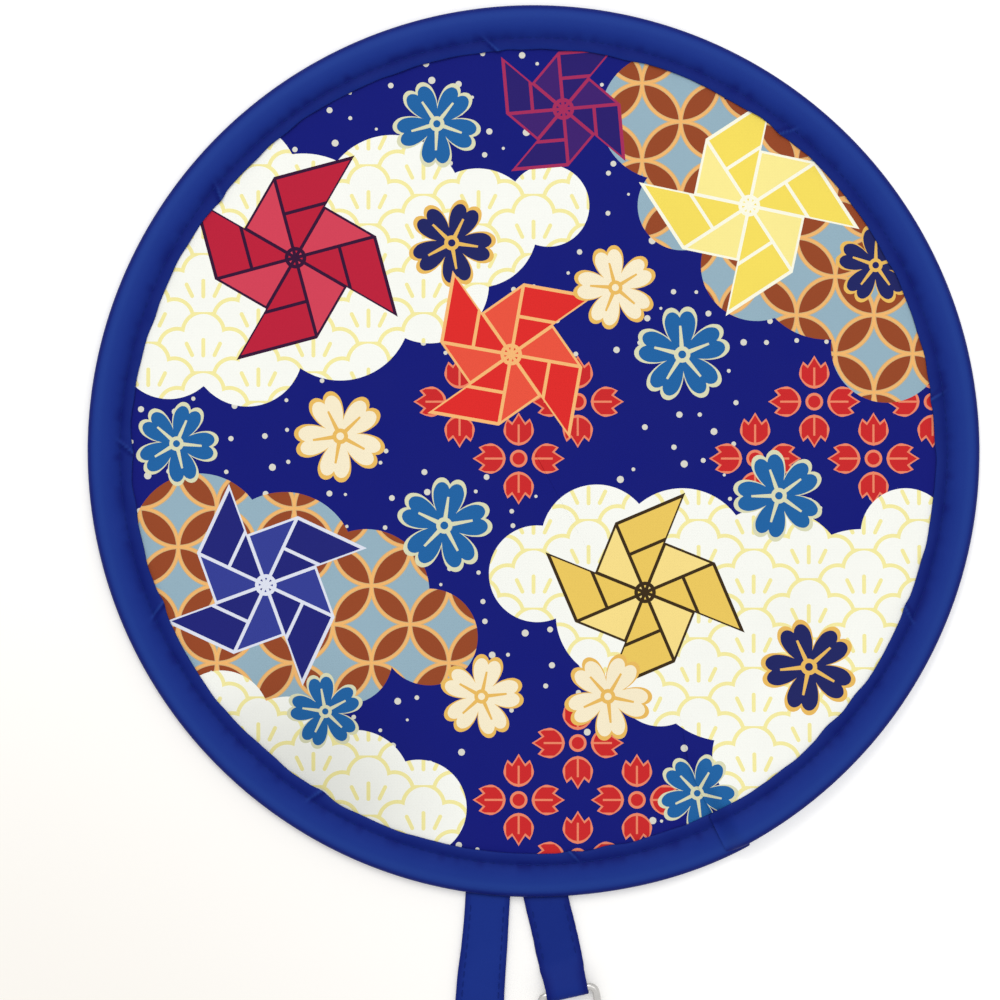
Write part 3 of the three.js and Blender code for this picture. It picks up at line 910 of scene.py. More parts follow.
def sewing_thread(colours):
    """Twisted sewing thread, with painted shade in the grooves of its twist."""
    material, n, shader = new_material("sewing_thread")
    across, along = n.parts(n.attribute("thread", "Vector"))
    turns = n.math("MULTIPLY", across, 4 * math.pi)
    twist = n.math("SINE", n.math("MULTIPLY_ADD", along, THREAD_TWIST, turns))
    # The twist's grooves are painted darker, as shade
    shade = n.math("MULTIPLY_ADD", twist, *THREAD_SHADE)
    n.feed(shader.inputs["Base Color"], n.mix(shade, ink(colours.thread), ink(colours.tape_shade)))
    n.feed(shader.inputs["Roughness"], n.math("MULTIPLY_ADD", twist, *THREAD_ROUGHNESS))
    set_plain(shader, Specular_IOR_Level=CLOTH_SPECULAR)
    bumped(n, shader, twist, THREAD_BUMP, THREAD_RELIEF)
    return material


def smudge_group():
    """Handling marks on metal: soft smudges and fine scratches."""
    tree, n, given = shader_group("metal_marks", {"Place": ORIGIN}, ["Smudge", "Scratch"])
    smudge = n.noise(given["Place"], SMUDGE_SCALE, MOTTLE_DETAIL)
    stretched = n.vector("MULTIPLY", given["Place"], SCRATCH_SCALE)
    close_group(n, Smudge=smudge, Scratch=n.noise(stretched, 1.0))
    return tree


def metal(name, tone, rough):
    """A bright metal with smudges and fine scratches."""
    material, n, shader = new_material(name)
    place = n.add("ShaderNodeTexCoord").outputs["Object"]
    marks = n.group(shared_group("metal_marks", smudge_group), Place=place)
    darker = tuple(part * SMUDGE_TONE for part in tone)
    n.feed(shader.inputs["Base Color"], n.mix(marks["Smudge"], ink(tone), ink(darker)))
    n.feed(shader.inputs["Roughness"], n.math("MULTIPLY_ADD", marks["Smudge"], SMUDGE_ROUGHNESS, rough))
    set_plain(shader, Metallic=1.0)
    bumped(n, shader, marks["Scratch"], SCRATCH_BUMP, SCRATCH_RELIEF)
    return material


# Pieces

# The stage in metres: the table, its warm patch of painted shade in one corner and its glow, even but
# brighter towards the right as painted light, the world, the lamps and the camera
FLOOR_REACH = 3.0
FLOOR_LEVEL = -0.0001
TABLE_GRAIN = 30.0
TABLE_TONES = ((0.975, 0.975, 0.97, 1.0), (0.985, 0.984, 0.98, 1.0))
WARM_SHADE_TONE = (0.85, 0.815, 0.755, 1.0)
WARM_SHADE_PLACE = (-0.2, -0.25, 0.0)
WARM_SHADE_REACH = (0.1, 0.33)
GLOW_SPAN = (0.03, 0.065)
GLOW = (0.17, 0.29)
WHITE = (1.0, 1.0, 1.0, 1.0)
WORLD_LIGHT = 0.72
LAMPS = (
    ("key_lamp", (-0.25, 0.95, 1.2), 0.8, 5.8),
    ("fill_lamp", (0.5, 0.2, 1.5), 0.9, 2.0),
)
SENSOR = 36.0
PICTURE_WIDTH = 0.26894
CAMERA_PLACE = (-0.00902, -0.01315)
CAMERA_HEIGHT = 0.9


class FAN_OT_stage(bpy.types.Operator):
    """Makes the floor, the lamps, the world and the camera"""

    bl_idname = "fan.stage"
    bl_label = "Stage"

    def execute(self, context):
        scene = context.scene
        scene.view_settings.view_transform = "Standard"
        corners = ((-1, -1), (1, -1), (1, 1), (-1, 1))
        points = [(x * FLOOR_REACH, y * FLOOR_REACH, FLOOR_LEVEL) for x, y in corners]
        floor = make_piece("floor", points, [(0, 1, 2, 3)], self.table())
        scene.world = self.world()
        for lamp in LAMPS:
            self.lamp(*lamp)
        scene.camera = self.camera()
        return {"FINISHED"}

    def table(self):
        """A pale table with a warm patch of painted shade in one corner, glowing evenly for the backdrop
        and brighter towards the right as painted light.
        """
        material, n, shader = new_material("pale_table")
        place = n.add("ShaderNodeTexCoord").outputs["Object"]
        base = n.mix(n.noise(place, TABLE_GRAIN), *TABLE_TONES)
        # A darker, warmer patch of painted shade round one corner of the table
        warm_shade = n.ranged(n.vector("DISTANCE", place, WARM_SHADE_PLACE), *WARM_SHADE_REACH)
        n.feed(shader.inputs["Base Color"], n.mix(warm_shade, WARM_SHADE_TONE, base))
        across, _ = n.parts(place)
        # The glow is even, with painted light added towards the right that lifts the shadow there
        glow = n.ranged(across, *GLOW_SPAN, *GLOW)
        n.feed(shader.inputs["Emission Strength"], n.math("MULTIPLY", n.backdrop_rays(), glow))
        set_plain(shader, Emission_Color=WHITE, Roughness=0.9, Specular_IOR_Level=0.1)
        return material

    def world(self):
        """Even white light, with a full white backdrop."""
        world = bpy.data.worlds.new("studio")
        world.use_nodes = True
        n = Nodes(world.node_tree)
        background = world.node_tree.nodes["Background"]
        background.inputs["Color"].default_value = WHITE
        n.feed(background.inputs["Strength"], n.mix_value(n.backdrop_rays(), WORLD_LIGHT, 1.0))
        return world

    def lamp(self, name, place, size, power):
        """A round soft lamp that looks at the fan's middle."""
        light = bpy.data.lights.new(name, "AREA")
        light.shape = "DISK"
        light.size = size
        light.energy = power
        holder = add_object(name, light)
        holder.location = place
        holder.rotation_euler = (-Vector(place)).to_track_quat("-Z", "Y").to_euler()

    def camera(self):
        """A camera that looks straight down."""
        camera = bpy.data.cameras.new("camera")
        camera.sensor_width = SENSOR
        camera.lens = SENSOR * CAMERA_HEIGHT / PICTURE_WIDTH
        camera.clip_start = 0.01
        camera.clip_end = 20.0
        holder = add_object("camera", camera)
        holder.location = (*CAMERA_PLACE, CAMERA_HEIGHT + WIRE_HEIGHT * MM)
        return holder


# The cloth: each zone is the two radii between which a form sets in, and each wave has its knots and seed
RIM_ZONE = (96, 108)
LAP_ZONE = (84, 108)
SEWN_ZONE = (106, 109)
WAVE_ZONE = (30, 100)
SAG_ZONE = (10, 104)
GATHER_WAVE = (134, 3)
SLACK_WAVE = (30, 4)
CLOTH_GATHER = 0.16
SEWN_FLAT = 0.6
CLOTH_WAVES = 0.22
CLOTH_SAG = 0.5
GORE_COLUMNS = 21
GORE_ROWS = 64
GORE_CROWDING = 0.8

# The spare cloth past the lap: where it begins and ends, its grid, and its gap above the first gore
FLAP_START = 359.96
FLAP_END = 362.6
FLAP_INNER = 82
FLAP_ROWS = 24
FLAP_COLUMNS = 8
FLAP_LEAST = 0.05
FLAP_ZONE = (80, 98)
FLAP_GAP = 0.34


def cloth_level(turn, radius):
    """Height of the cloth's middle in millimetres: it follows the tape at the rim and lies slack within."""
    rim = eased(radius, *RIM_ZONE)
    lap = lap_rise(turn, radius) * eased(radius, *LAP_ZONE)
    sewn = 1 - SEWN_FLAT * eased(radius, *SEWN_ZONE)
    gathered = CLOTH_GATHER * ripple(turn, *GATHER_WAVE) * rim * sewn
    waves = CLOTH_WAVES * ripple(turn, *SLACK_WAVE) * eased(radius, *WAVE_ZONE) * (1 - rim)
    slack = -CLOTH_SAG * (1 - eased(radius, *SAG_ZONE))
    return WIRE_HEIGHT + lap + gathered + waves + slack


def cloth_height(turn, radius):
    """Height of the cloth, whose last gore runs on past the lap and down onto the first."""
    own = cloth_level(turn, radius)
    under = cloth_level(turn - 360, radius) + FLAP_GAP
    return own + (under - own) * eased(turn, 360.0, FLAP_END)


def cloth_normal(turn, radius):
    """Upward normals of the cloth, by small steps of its height."""
    step = 0.2
    steep = (cloth_height(turn, radius + step) - cloth_height(turn, radius - step)) / (2 * step)
    arc = np.maximum(radius, 1.0)
    turn_step = np.degrees(step / arc)
    side = (cloth_height(turn + turn_step, radius) - cloth_height(turn - turn_step, radius)) / (2 * step)
    angle = np.radians(SEAM - turn)
    outward = np.stack([np.cos(angle), np.sin(angle), np.zeros_like(angle)], -1)
    clockwise = np.stack([np.sin(angle), -np.cos(angle), np.zeros_like(angle)], -1)
    normal = np.array([0.0, 0.0, 1.0]) - steep[..., None] * outward - side[..., None] * clockwise
    return unit(normal)


def thin_cloth(turn, radius, thickness):
    """A thin closed patch of cloth on a grid of turns and radii. Its first row may be the fan's middle."""
    rows, columns = turn.shape
    number = np.arange(rows * columns).reshape(rows, columns)
    if radius[0].max() == 0:
        number[0] = columns // 2
    turn, radius = turn.ravel(), radius.ravel()
    across, up = turned(turn, radius)
    normal = cloth_normal(turn, radius)
    middle = np.stack([across, up, cloth_height(turn, radius)], -1)
    points = np.concatenate([middle + normal * thickness / 2, middle - normal * thickness / 2])
    count = len(middle)
    upper = []
    for row in range(rows - 1):
        for column in range(columns - 1):
            low, high = number[row], number[row + 1]
            corners = (low[column], low[column + 1], high[column + 1], high[column])
            upper.append(tuple(int(v) for v in dict.fromkeys(corners)))
    lower = [tuple(v + count for v in reversed(face)) for face in upper]
    edges = [(number[-1], False), (number[:, 0], False), (number[:, -1], True)]
    if number[0, 0] != number[0, 1]:
        edges.append((number[0], True))
    walls = []
    for line, flip in edges:
        for a, b in zip(line.tolist(), line[1:].tolist()):
            face = (a, b, b + count, a + count)
            walls.append(tuple(reversed(face)) if flip else face)
    both = np.concatenate([normal, -normal])
    corner_normals = [both[v] for face in upper + lower for v in face]
    for face in walls:
        a, b, c, d = (points[v] for v in face)
        flat = np.cross(c - a, d - b)
        corner_normals += [flat / max(np.linalg.norm(flat), 1e-9)] * 4
    plan = np.concatenate([np.stack([across, up], -1)] * 2) * MM
    faces = upper + lower + walls
    corner_uv = [plan[v] for face in faces for v in face]
    used, renumbered = np.unique([v for face in faces for v in face], return_inverse=True)
    renumbered = iter(renumbered.tolist())
    faces = [tuple(next(renumbered) for _ in face) for face in faces]
    return points[used], faces, corner_normals, corner_uv


class FAN_OT_cloth(bpy.types.Operator):
    """Makes the printed cloth in one gore for each link of the hoop"""

    bl_idname = "fan.cloth"
    bl_label = "Printed cloth"

    def execute(self, context):
        sizes = context.scene.fan_sizes
        material = shared_material("printed_cloth", printed_cloth, context.scene.fan_colours)
        edge = sizes.cloth_edge / MM
        radii = edge * np.linspace(0, 1, GORE_ROWS) ** GORE_CROWDING
        for number in range(1, LINKS + 1):
            turns = np.linspace((number - 1) * LINK_TURN, number * LINK_TURN, GORE_COLUMNS)
            patches = [thin_cloth(*np.meshgrid(turns, radii), sizes.cloth_thickness / MM)]
            if number == LINKS:
                patches.append(thin_cloth(*self.flap(edge), sizes.cloth_thickness / MM))
            piece = self.gore(f"cloth_gore_{number:02d}", patches, material)
            body = f"link_{number:02d}"
            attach(piece, body)
            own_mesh(piece)
            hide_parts("printed_sheet")
        return {"FINISHED"}

    def flap(self, edge):
        """Turns and radii of the spare cloth that runs past the lap near the rim."""
        radii = np.linspace(FLAP_INNER, edge, FLAP_ROWS)
        radius, share = np.meshgrid(radii, np.linspace(0, 1, FLAP_COLUMNS), indexing="ij")
        width = FLAP_LEAST + (1 - FLAP_LEAST) * eased(radius, *FLAP_ZONE)
        return FLAP_START + (FLAP_END - FLAP_START) * share * width, radius

    def gore(self, name, patches, material):
        """One piece from one or more patches of cloth."""
        points, faces, normals, uv = [], [], [], []
        for patch in patches:
            faces += [tuple(v + len(points) for v in face) for face in patch[1]]
            points += list(patch[0] * MM)
            normals += patch[2]
            uv += patch[3]
        return make_piece(name, points, faces, material, normals, uv)


# The tape's upper half in section: radius, height above the wire, gathering, painted shade along its folds,
# groove and edges, and painted highlight along its outer shoulder
TAPE_SECTION = (
    (108.9, 0.10, 0.0, 1.0, 0.0),
    (108.4, 0.30, 0.5, 1.0, 0.0),
    (108.15, 0.55, 0.8, 0.8, 0.0),
    (108.35, 0.82, 1.0, 0.45, 0.0),
    (109.0, 0.95, 1.0, 0.62, 0.0),
    (109.8, 0.92, 1.0, 0.75, 0.0),
    (110.5, 0.72, 0.8, 0.9, 0.0),
    (111.0, 0.48, 0.5, 1.0, 0.0),
    (111.4, 0.45, 0.5, 0.9, 0.0),
    (111.9, 0.72, 0.7, 0.6, 0.0),
    (112.6, 1.12, 0.6, 0.3, 0.0),
    (113.6, 1.46, 0.4, 0.12, 0.0),
    (114.7, 1.66, 0.25, 0.04, 0.15),
    (115.9, 1.72, 0.15, 0.0, 0.3),
    (117.1, 1.63, 0.1, 0.0, 0.65),
    (118.0, 1.43, 0.08, 0.04, 0.65),
    (118.7, 1.17, 0.05, 0.25, 0.35),
    (119.2, 0.88, 0.0, 0.8, 0.0),
    (119.65, 0.5, 0.0, 1.0, 0.0),
    (119.95, 0.0, 0.0, 1.0, 0.0),
)
TAPE_STEP = 0.2
GROOVE = (110.9, 111.5)
MARGIN_ZONE = (108, 112)

# The lap: how far the first length reaches back, where the last one ends, and how the two lie on each other
LAP_TUCK = 0.45
LAP_BLUNT = 0.98
LAP_END = 363.0
LAP_PROUD = 1.0
LAP_PROUD_TURN = 26
LAP_PROUD_ZONE = (109, 113)
LAP_GAP = 0.15
LAP_LAYERS = 0.4

# Waves as depth, knots and seed, and slanted pleats as turn and lean
MARGIN_WAVES = ((0.28, 120, 7), (0.2, 41, 8))
FINE_WAVE = (0.5, 260, 5)
UNDERSIDE_LIFT = 0.4
PLEATS = (
    (119.1, 0.9), (23.0, -0.8), (61.0, 0.5), (96.0, -0.7), (158.0, 0.6), (203.0, -0.9), (247.0, 0.7),
    (291.0, -0.5), (322.0, 0.8),
)
PLEAT_RADIUS = 109.5
PLEAT_LEAN = 0.55
PLEAT_ZONE = (110.4, 113.0)
PLEAT_PULL = 0.5
PLEAT_PULL_SPREAD = 1.1
PLEAT_LIFT = 0.6
PLEAT_LIFT_SPREAD = 0.36

# Painted shade and highlight: the seam's zone of painted shade, its slow changes and its teeth of painted
# shade, and a painted shadow and a painted light edge at each pleat
DARK_SEAM_START = (110.2, 111.2)
DARK_SEAM_END = (111.9, 113.8)
DARK_SEAM_WAVE = (17, 12)
TEETH_WAVE = (330, 11)
DARK_SEAM = 0.8
DARK_SEAM_CHANGE = 0.2
TEETH_LEVEL = 0.25
TEETH_DARK = 0.5
PLEAT_SHADOW = 0.9
PLEAT_SHADOW_TURN = 0.42
PLEAT_SHADOW_SPREAD = 0.3
PLEAT_LIGHT = 0.5
PLEAT_HIGHLIGHT = 1.2
PLEAT_HIGHLIGHT_SPREAD = 0.24
MOST_CREASE = 1.1


def tape_outline():
    """The whole closed section, one row for each point, and the distance round it."""
    upper = np.array(TAPE_SECTION)
    lower = upper[-2::-1] * np.array([1, -1, 1, 1, 1])
    outline = np.concatenate([upper, lower])
    return outline, distances(outline[:, :2])


def pleat_ridge(turn, radius, spread):
    """Slanted pleats where the sewn margin has more cloth than it needs."""
    found = np.zeros(np.broadcast_shapes(turn.shape, radius.shape))
    for place, lean in PLEATS:
        away = (turn - place - lean * (radius - PLEAT_RADIUS) * PLEAT_LEAN) / spread
        found = found + np.exp(-away * away)
    return found * (1 - eased(radius, *PLEAT_ZONE))


def tape_points(turns, gather):
    """Points of the tape in millimetres, for each turn and each point of its section."""
    outline, _ = tape_outline()
    turn = turns[:, None]
    radius, height, pull = outline.T[:3]
    above = height > 0
    inner = 1 - eased(radius, *MARGIN_ZONE)
    wobble = sum(depth * ripple(turn, knots, seed) for depth, knots, seed in MARGIN_WAVES)
    wobble = wobble - PLEAT_PULL * pleat_ridge(turn, radius, PLEAT_PULL_SPREAD)
    head = np.where(turn < 90, 1 - eased(turn, 0, LAP_PROUD_TURN), 0) * eased(radius, *LAP_PROUD_ZONE)
    spread = radius + inner * wobble + LAP_PROUD * head
    fine, *fine_wave = FINE_WAVE
    lift = gather * pull * (ripple(turn, *GATHER_WAVE) + fine * ripple(turn, *fine_wave))
    pleated = lift + PLEAT_LIFT * pull * pleat_ridge(turn, radius, PLEAT_LIFT_SPREAD)
    lift = np.where(above, pleated, UNDERSIDE_LIFT * lift)
    level = WIRE_HEIGHT + height + lift + lap_rise(turn, spread)
    upper = np.array(TAPE_SECTION)[3:]
    under = WIRE_HEIGHT + np.interp(spread, upper[:, 0], upper[:, 1]) + LAP_GAP + LAP_LAYERS * above
    level = level + (under - level) * eased(turn, 360.0, LAP_END)
    before = np.clip(-turn / LAP_TUCK, 0, LAP_BLUNT)
    domed = np.sqrt(1 - before * before)
    spread = HOOP_RADIUS + (spread - HOOP_RADIUS) * domed
    level = WIRE_HEIGHT + (level - WIRE_HEIGHT) * domed
    across, up = turned(turn, spread)
    return np.stack([across, up, level], -1)


class FAN_OT_tape(bpy.types.Operator):
    """Makes the folded edge tape, in pieces that each run from the middle of one link of the hoop to the
    middle of the next
    """

    bl_idname = "fan.tape"
    bl_label = "Edge tape"

    def execute(self, context):
        sizes = context.scene.fan_sizes
        material = shared_material("tape_cloth", tape_cloth, context.scene.fan_colours)
        gather = sizes.gather / MM
        for number in range(LINKS + 1):
            start = (number - 0.5) * LINK_TURN if number else -LAP_TUCK
            end = (number + 0.5) * LINK_TURN if number < LINKS else LAP_END
            name = f"tape_{number + 1:02d}"
            piece = self.length_of_tape(name, start, end, gather, material)
            join_links(piece, number)
            nodes = [f"edge_tape_{n:02d}" for n in (number, number + 1) if 1 <= n <= LINKS]
            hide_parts(*nodes)
        return {"FINISHED"}

    def length_of_tape(self, name, start, end, gather, material):
        """One closed length of tape."""
        steps = max(2, round((end - start) / TAPE_STEP))
        step = (end - start) / steps
        turns = start + step * np.arange(-1, steps + 2)
        points = tape_points(turns, gather)
        along = np.gradient(points, axis=0)
        round_it = np.roll(points, -1, axis=1) - np.roll(points, 1, axis=1)
        normal = unit(np.cross(along, round_it))
        points, normal, turns = points[1:-1], normal[1:-1], turns[1:-1]
        outline, distance = tape_outline()
        columns = len(outline)
        faces = [tuple(reversed(face)) for face in grid_faces(len(turns), columns, True)]
        arc = np.radians(turns) * HOOP_RADIUS
        around = np.concatenate([distance, [distance[-1] + 2 * TAPE_SECTION[0][1]]])
        uv = []
        for row in range(len(turns) - 1):
            for column in range(columns):
                uv += [
                    (arc[row + 1], around[column]),
                    (arc[row + 1], around[column + 1]),
                    (arc[row], around[column + 1]),
                    (arc[row], around[column]),
                ]
        corners = points.reshape(-1, 3)
        flat_normal = normal.reshape(-1, 3)
        corner_normals = [flat_normal[v] for face in faces for v in face]
        ring = list(range(columns))
        last = len(turns) - 1
        for row, cap in ((0, ring), (last, [v + last * columns for v in reversed(ring)])):
            outward = points[row].mean(0) - points[1 if row == 0 else row - 1].mean(0)
            faces.append(tuple(cap))
            corner_normals += [unit(outward)] * columns
            uv += [(arc[row], around[v % columns]) for v in cap]
        uv = np.array(uv) * MM
        painted_shading = self.shade_and_highlight(turns, outline)
        return make_piece(name, corners * MM, faces, material, corner_normals, uv, painted_shading)

    def shade_and_highlight(self, turns, outline):
        """Painted shade and highlight: shade along the folds, groove and edges, an uneven seam of shade, a
        highlight on the outer shoulder, and a painted shadow, light edge and highlight at each pleat.
        """
        turn = turns[:, None]
        radius, crease, highlight = outline[:, 0], outline[:, 3], outline[:, 4]
        seam = eased(radius, *DARK_SEAM_START) * (1 - eased(radius, *DARK_SEAM_END))
        deep = DARK_SEAM + DARK_SEAM_CHANGE * ripple(turn, *DARK_SEAM_WAVE)
        teeth = np.maximum(ripple(turn, *TEETH_WAVE) + TEETH_LEVEL, 0)
        crease = crease * (1 - seam * (1 - deep)) + TEETH_DARK * seam * deep * teeth
        # Each pleat gets a painted shadow on one side, and a painted light edge and highlight along its
        # ridge
        shadow = pleat_ridge(turn + PLEAT_SHADOW_TURN, radius, PLEAT_SHADOW_SPREAD)
        light = pleat_ridge(turn, radius, PLEAT_SHADOW_SPREAD)
        crease = crease + PLEAT_SHADOW * shadow - PLEAT_LIGHT * light
        highlight = highlight + PLEAT_HIGHLIGHT * pleat_ridge(turn, radius, PLEAT_HIGHLIGHT_SPREAD)
        return {"crease": np.clip(crease, 0, MOST_CREASE), "highlight": np.clip(highlight, 0, 1)}


def join_links(piece, number):
    """Lets the first and last lengths of rim ride on their links at the lap; the others stay where they
    lie, on no link.
    """
    if number == 0:
        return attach(piece, "link_01")
    if number == LINKS:
        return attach(piece, f"link_{LINKS:02d}")
    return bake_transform(piece)


BEAD_SIDES = 6
BEAD_RINGS = 5
POINTS_PER_STITCH = 6


def stitch_tree():
    """Geometry nodes that lay stitches along a line of points."""
    tree = bpy.data.node_groups.new("stitch_row", "GeometryNodeTree")
    face = tree.interface
    face.new_socket("Geometry", in_out="INPUT", socket_type="NodeSocketGeometry")
    for key, kind, value in (
        ("Count", "NodeSocketInt", 14),
        ("Stitch length", "NodeSocketFloat", 0.0021),
        ("Thread width", "NodeSocketFloat", 0.0004),
        ("Material", "NodeSocketMaterial", None),
    ):
        socket = face.new_socket(key, in_out="INPUT", socket_type=kind)
        if value is not None:
            socket.default_value = value
    face.new_socket("Geometry", in_out="OUTPUT", socket_type="NodeSocketGeometry")
    n = Nodes(tree)
    given = n.add("NodeGroupInput").outputs
    curve = n.add("GeometryNodeMeshToCurve")
    n.feed(curve.inputs["Mesh"], given["Geometry"])
    spaced = n.add("GeometryNodeResampleCurve")
    spaced.mode = "COUNT"
    n.feed(spaced.inputs["Curve"], curve.outputs[0])
    n.feed(spaced.inputs["Count"], given["Count"])
    bead = n.add("GeometryNodeMeshUVSphere")
    n.feed(bead.inputs["Segments"], BEAD_SIDES)
    n.feed(bead.inputs["Rings"], BEAD_RINGS)
    n.feed(bead.inputs["Radius"], 0.5)
    store = n.add("GeometryNodeStoreNamedAttribute", data_type="FLOAT2", domain="CORNER")
    n.feed(store.inputs["Geometry"], bead.outputs["Mesh"])
    n.feed(store.inputs["Name"], "thread")
    n.feed(store.inputs["Value"], bead.outputs["UV Map"])
    aim = n.add("FunctionNodeAlignRotationToVector", axis="Z")
    n.feed(aim.inputs["Vector"], n.add("GeometryNodeInputTangent").outputs[0])
    shape = n.add("ShaderNodeCombineXYZ")
    n.feed(shape.inputs["X"], given["Thread width"])
    n.feed(shape.inputs["Y"], given["Thread width"])
    n.feed(shape.inputs["Z"], given["Stitch length"])
    placed = n.add("GeometryNodeInstanceOnPoints")
    n.feed(placed.inputs["Points"], spaced.outputs[0])
    n.feed(placed.inputs["Instance"], store.outputs["Geometry"])
    n.feed(placed.inputs["Rotation"], aim.outputs[0])
    n.feed(placed.inputs["Scale"], shape.outputs[0])
    real = n.add("GeometryNodeRealizeInstances")
    n.feed(real.inputs["Geometry"], placed.outputs[0])
    smooth = n.add("GeometryNodeSetShadeSmooth")
    n.feed(smooth.inputs["Geometry"], real.outputs[0])
    coloured = n.add("GeometryNodeSetMaterial")
    n.feed(coloured.inputs["Geometry"], smooth.outputs[0])
    n.feed(coloured.inputs["Material"], given["Material"])
    n.feed(n.add("NodeGroupOutput").inputs[0], coloured.outputs[0])
    return tree


def sew(name, lines, count, sizes, material):
    """Stitches along one or more lines of points in metres, as one plain mesh."""
    tree = shared_group("stitch_row", stitch_tree)
    mesh = bpy.data.meshes.new(name)
    points, edges = [], []
    for line in lines:
        edges += [(len(points) + i, len(points) + i + 1) for i in range(len(line) - 1)]
        points += [tuple(p) for p in line]
    mesh.from_pydata(points, edges, [])
    piece = add_object(name, mesh)
    modifier = piece.modifiers.new("stitches", "NODES")
    values = {
        "Count": count,
        "Stitch length": sizes.stitch,
        "Thread width": sizes.thread,
        "Material": material,
    }
    modifier.node_group = tree
    for item in tree.interface.items_tree:
        if item.in_out == "INPUT" and item.name in values:
            modifier[item.identifier] = values[item.name]
    apply_modifiers(piece)
    if not piece.data.polygons:
        raise RuntimeError(f"{name} has no stitches")
    return piece


class FAN_OT_rim_stitches(bpy.types.Operator):
    """Sews the tape down along its groove, on both faces"""

    bl_idname = "fan.rim_stitches"
    bl_label = "Rim stitches"

    def execute(self, context):
        sizes = context.scene.fan_sizes
        material = shared_material("sewing_thread", sewing_thread, context.scene.fan_colours)
        outline, _ = tape_outline()
        groove = [i for i, row in enumerate(outline) if GROOVE[0] < row[0] < GROOVE[1]]
        faces = (groove[:2], groove[2:])
        for number in range(LINKS + 1):
            half = number in (0, LINKS)
            start = (number - 0.5) * LINK_TURN if number else 0.0
            turn = LINK_TURN / 2 if half else LINK_TURN
            count = sizes.stitches_per_link // 2 if half else sizes.stitches_per_link
            pitch = turn / count
            turns = np.linspace(start + pitch / 2, start + turn - pitch / 2, POINTS_PER_STITCH * count)
            points = tape_points(turns, sizes.gather / MM)
            lines = [points[:, pair].mean(1) * MM for pair in faces]
            piece = sew(f"rim_stitches_{number + 1:02d}", lines, count, sizes, material)
            join_links(piece, number)
        return {"FINISHED"}


# The straps at the rim: the radius of their cut ends, where they are sewn tight and where they lie free
STRAP_ROOT = 116.6
STRAP_TIGHT = 118.7
STRAP_CLEAR = 121.2
STRAP_LIFT = 0.25
STRAP_THINNED = 0.6
STRAP_TUCK = 2.2
STRAP_CUT = 6.0

# The straps from the rim on: where one opens out, the rise to its bar, its loop, its painted shade along
# edges, sewn roots and folds, and its seams
STRAP_SPAN = 12.0
WIDE_FULL = 30.0
WIDE_END = 10.0
BAR_RISE = 9.0
BAR_ROOM = 1.3
LOOP_TURN = 80
LOOP_FALL = 6
FOLD_SPAN = (-11, -5)
FOLD_NARROWED = 0.05
WANDER = 0.14
WANDER_KNOTS = 24
EDGE_DARK = 0.75
SEWN_DARK = 0.3
FOLD_DARK = 0.3
FOLD_DARK_FROM = 4
SECTION_POINTS = 9
SECTION_CROWN = 0.12
STRAP_SEAM_START = 3.0
STRAP_SEAM_END = 10.5
STRAP_SEAM_INSET = 1.5
STRAP_SEAM_PROUD = 0.08
STRAP_STITCH_PITCH = 2.5
CROSS_AHEAD = 0.6
CROSS_INSET = 1.2
CROSS_STITCHES = 4


class StrapFrame:
    """Where a strap lies: from its hinge at the rim to the bar that its end folds over."""

    def __init__(self, swing, flip, spread):
        self.spread = spread
        start = Vector(JOINTS[swing]["pos_m"]) / MM
        bar = Vector(JOINTS[flip]["pos_m"]) / MM
        self.start = Vector((start.x, start.y, 0.0))
        run = Vector((bar.x, bar.y, 0.0)) - self.start
        self.length = run.length
        self.along = run.normalized()
        self.across = Vector((-self.along.y, self.along.x, 0.0))
        self.bar_height = bar.z
        self.outward = self.start.normalized()

    def tucked(self, across, along):
        """How far along a point lies once the strap's end is cut to the rim's curve."""
        side = self.start + self.across * across
        ahead = side.dot(self.along)
        root = math.sqrt(ahead**2 - side.length_squared + STRAP_ROOT**2) - ahead
        return along + (root + STRAP_TUCK) * (1 - float(eased(along, -STRAP_TUCK, STRAP_CUT)))

    def widened(self, across, along):
        """Lets the strap's left edge open out a little past the rim and close again before its bar."""
        opened = eased(along, 0.0, WIDE_FULL)
        opened = opened * (1 - eased(along, self.length - WIDE_FULL, self.length - WIDE_END))
        return across - self.spread * float(opened) * (0.5 - across / STRAP_SPAN)

    def place(self, across, along, height):
        """A point in millimetres."""
        return self.start + self.across * across + self.along * along + Vector((0, 0, height))


def strap_line(strap, layer, bar_gap):
    """The strap's middle line: out on top, round the bar and back below, as (along, height) points."""
    upper, lower = 1.5 * layer, 0.5 * layer
    turn = bar_gap + layer / 2
    centre = strap.bar_height
    climb = strap.length - BAR_RISE
    line = []
    for along in np.concatenate([np.linspace(-STRAP_TUCK, 2, 15), np.linspace(3, climb - 2, 30)]):
        line.append((along, upper))
    for share in np.linspace(0, 1, 16):
        risen = float(eased(share, 0, 1))
        line.append((climb + share * BAR_RISE, upper + (centre + turn - upper) * risen))
    for angle in np.radians(np.linspace(LOOP_TURN, -LOOP_TURN, 17)):
        line.append((strap.length + turn * math.cos(angle), centre + turn * math.sin(angle)))
    for along in np.concatenate([np.linspace(strap.length, 3, 40), np.linspace(2, -STRAP_TUCK, 15)]):
        fallen = float(eased(strap.length - along, 0, LOOP_FALL))
        line.append((along, centre - turn + (lower - centre + turn) * fallen))
    return np.array(line)


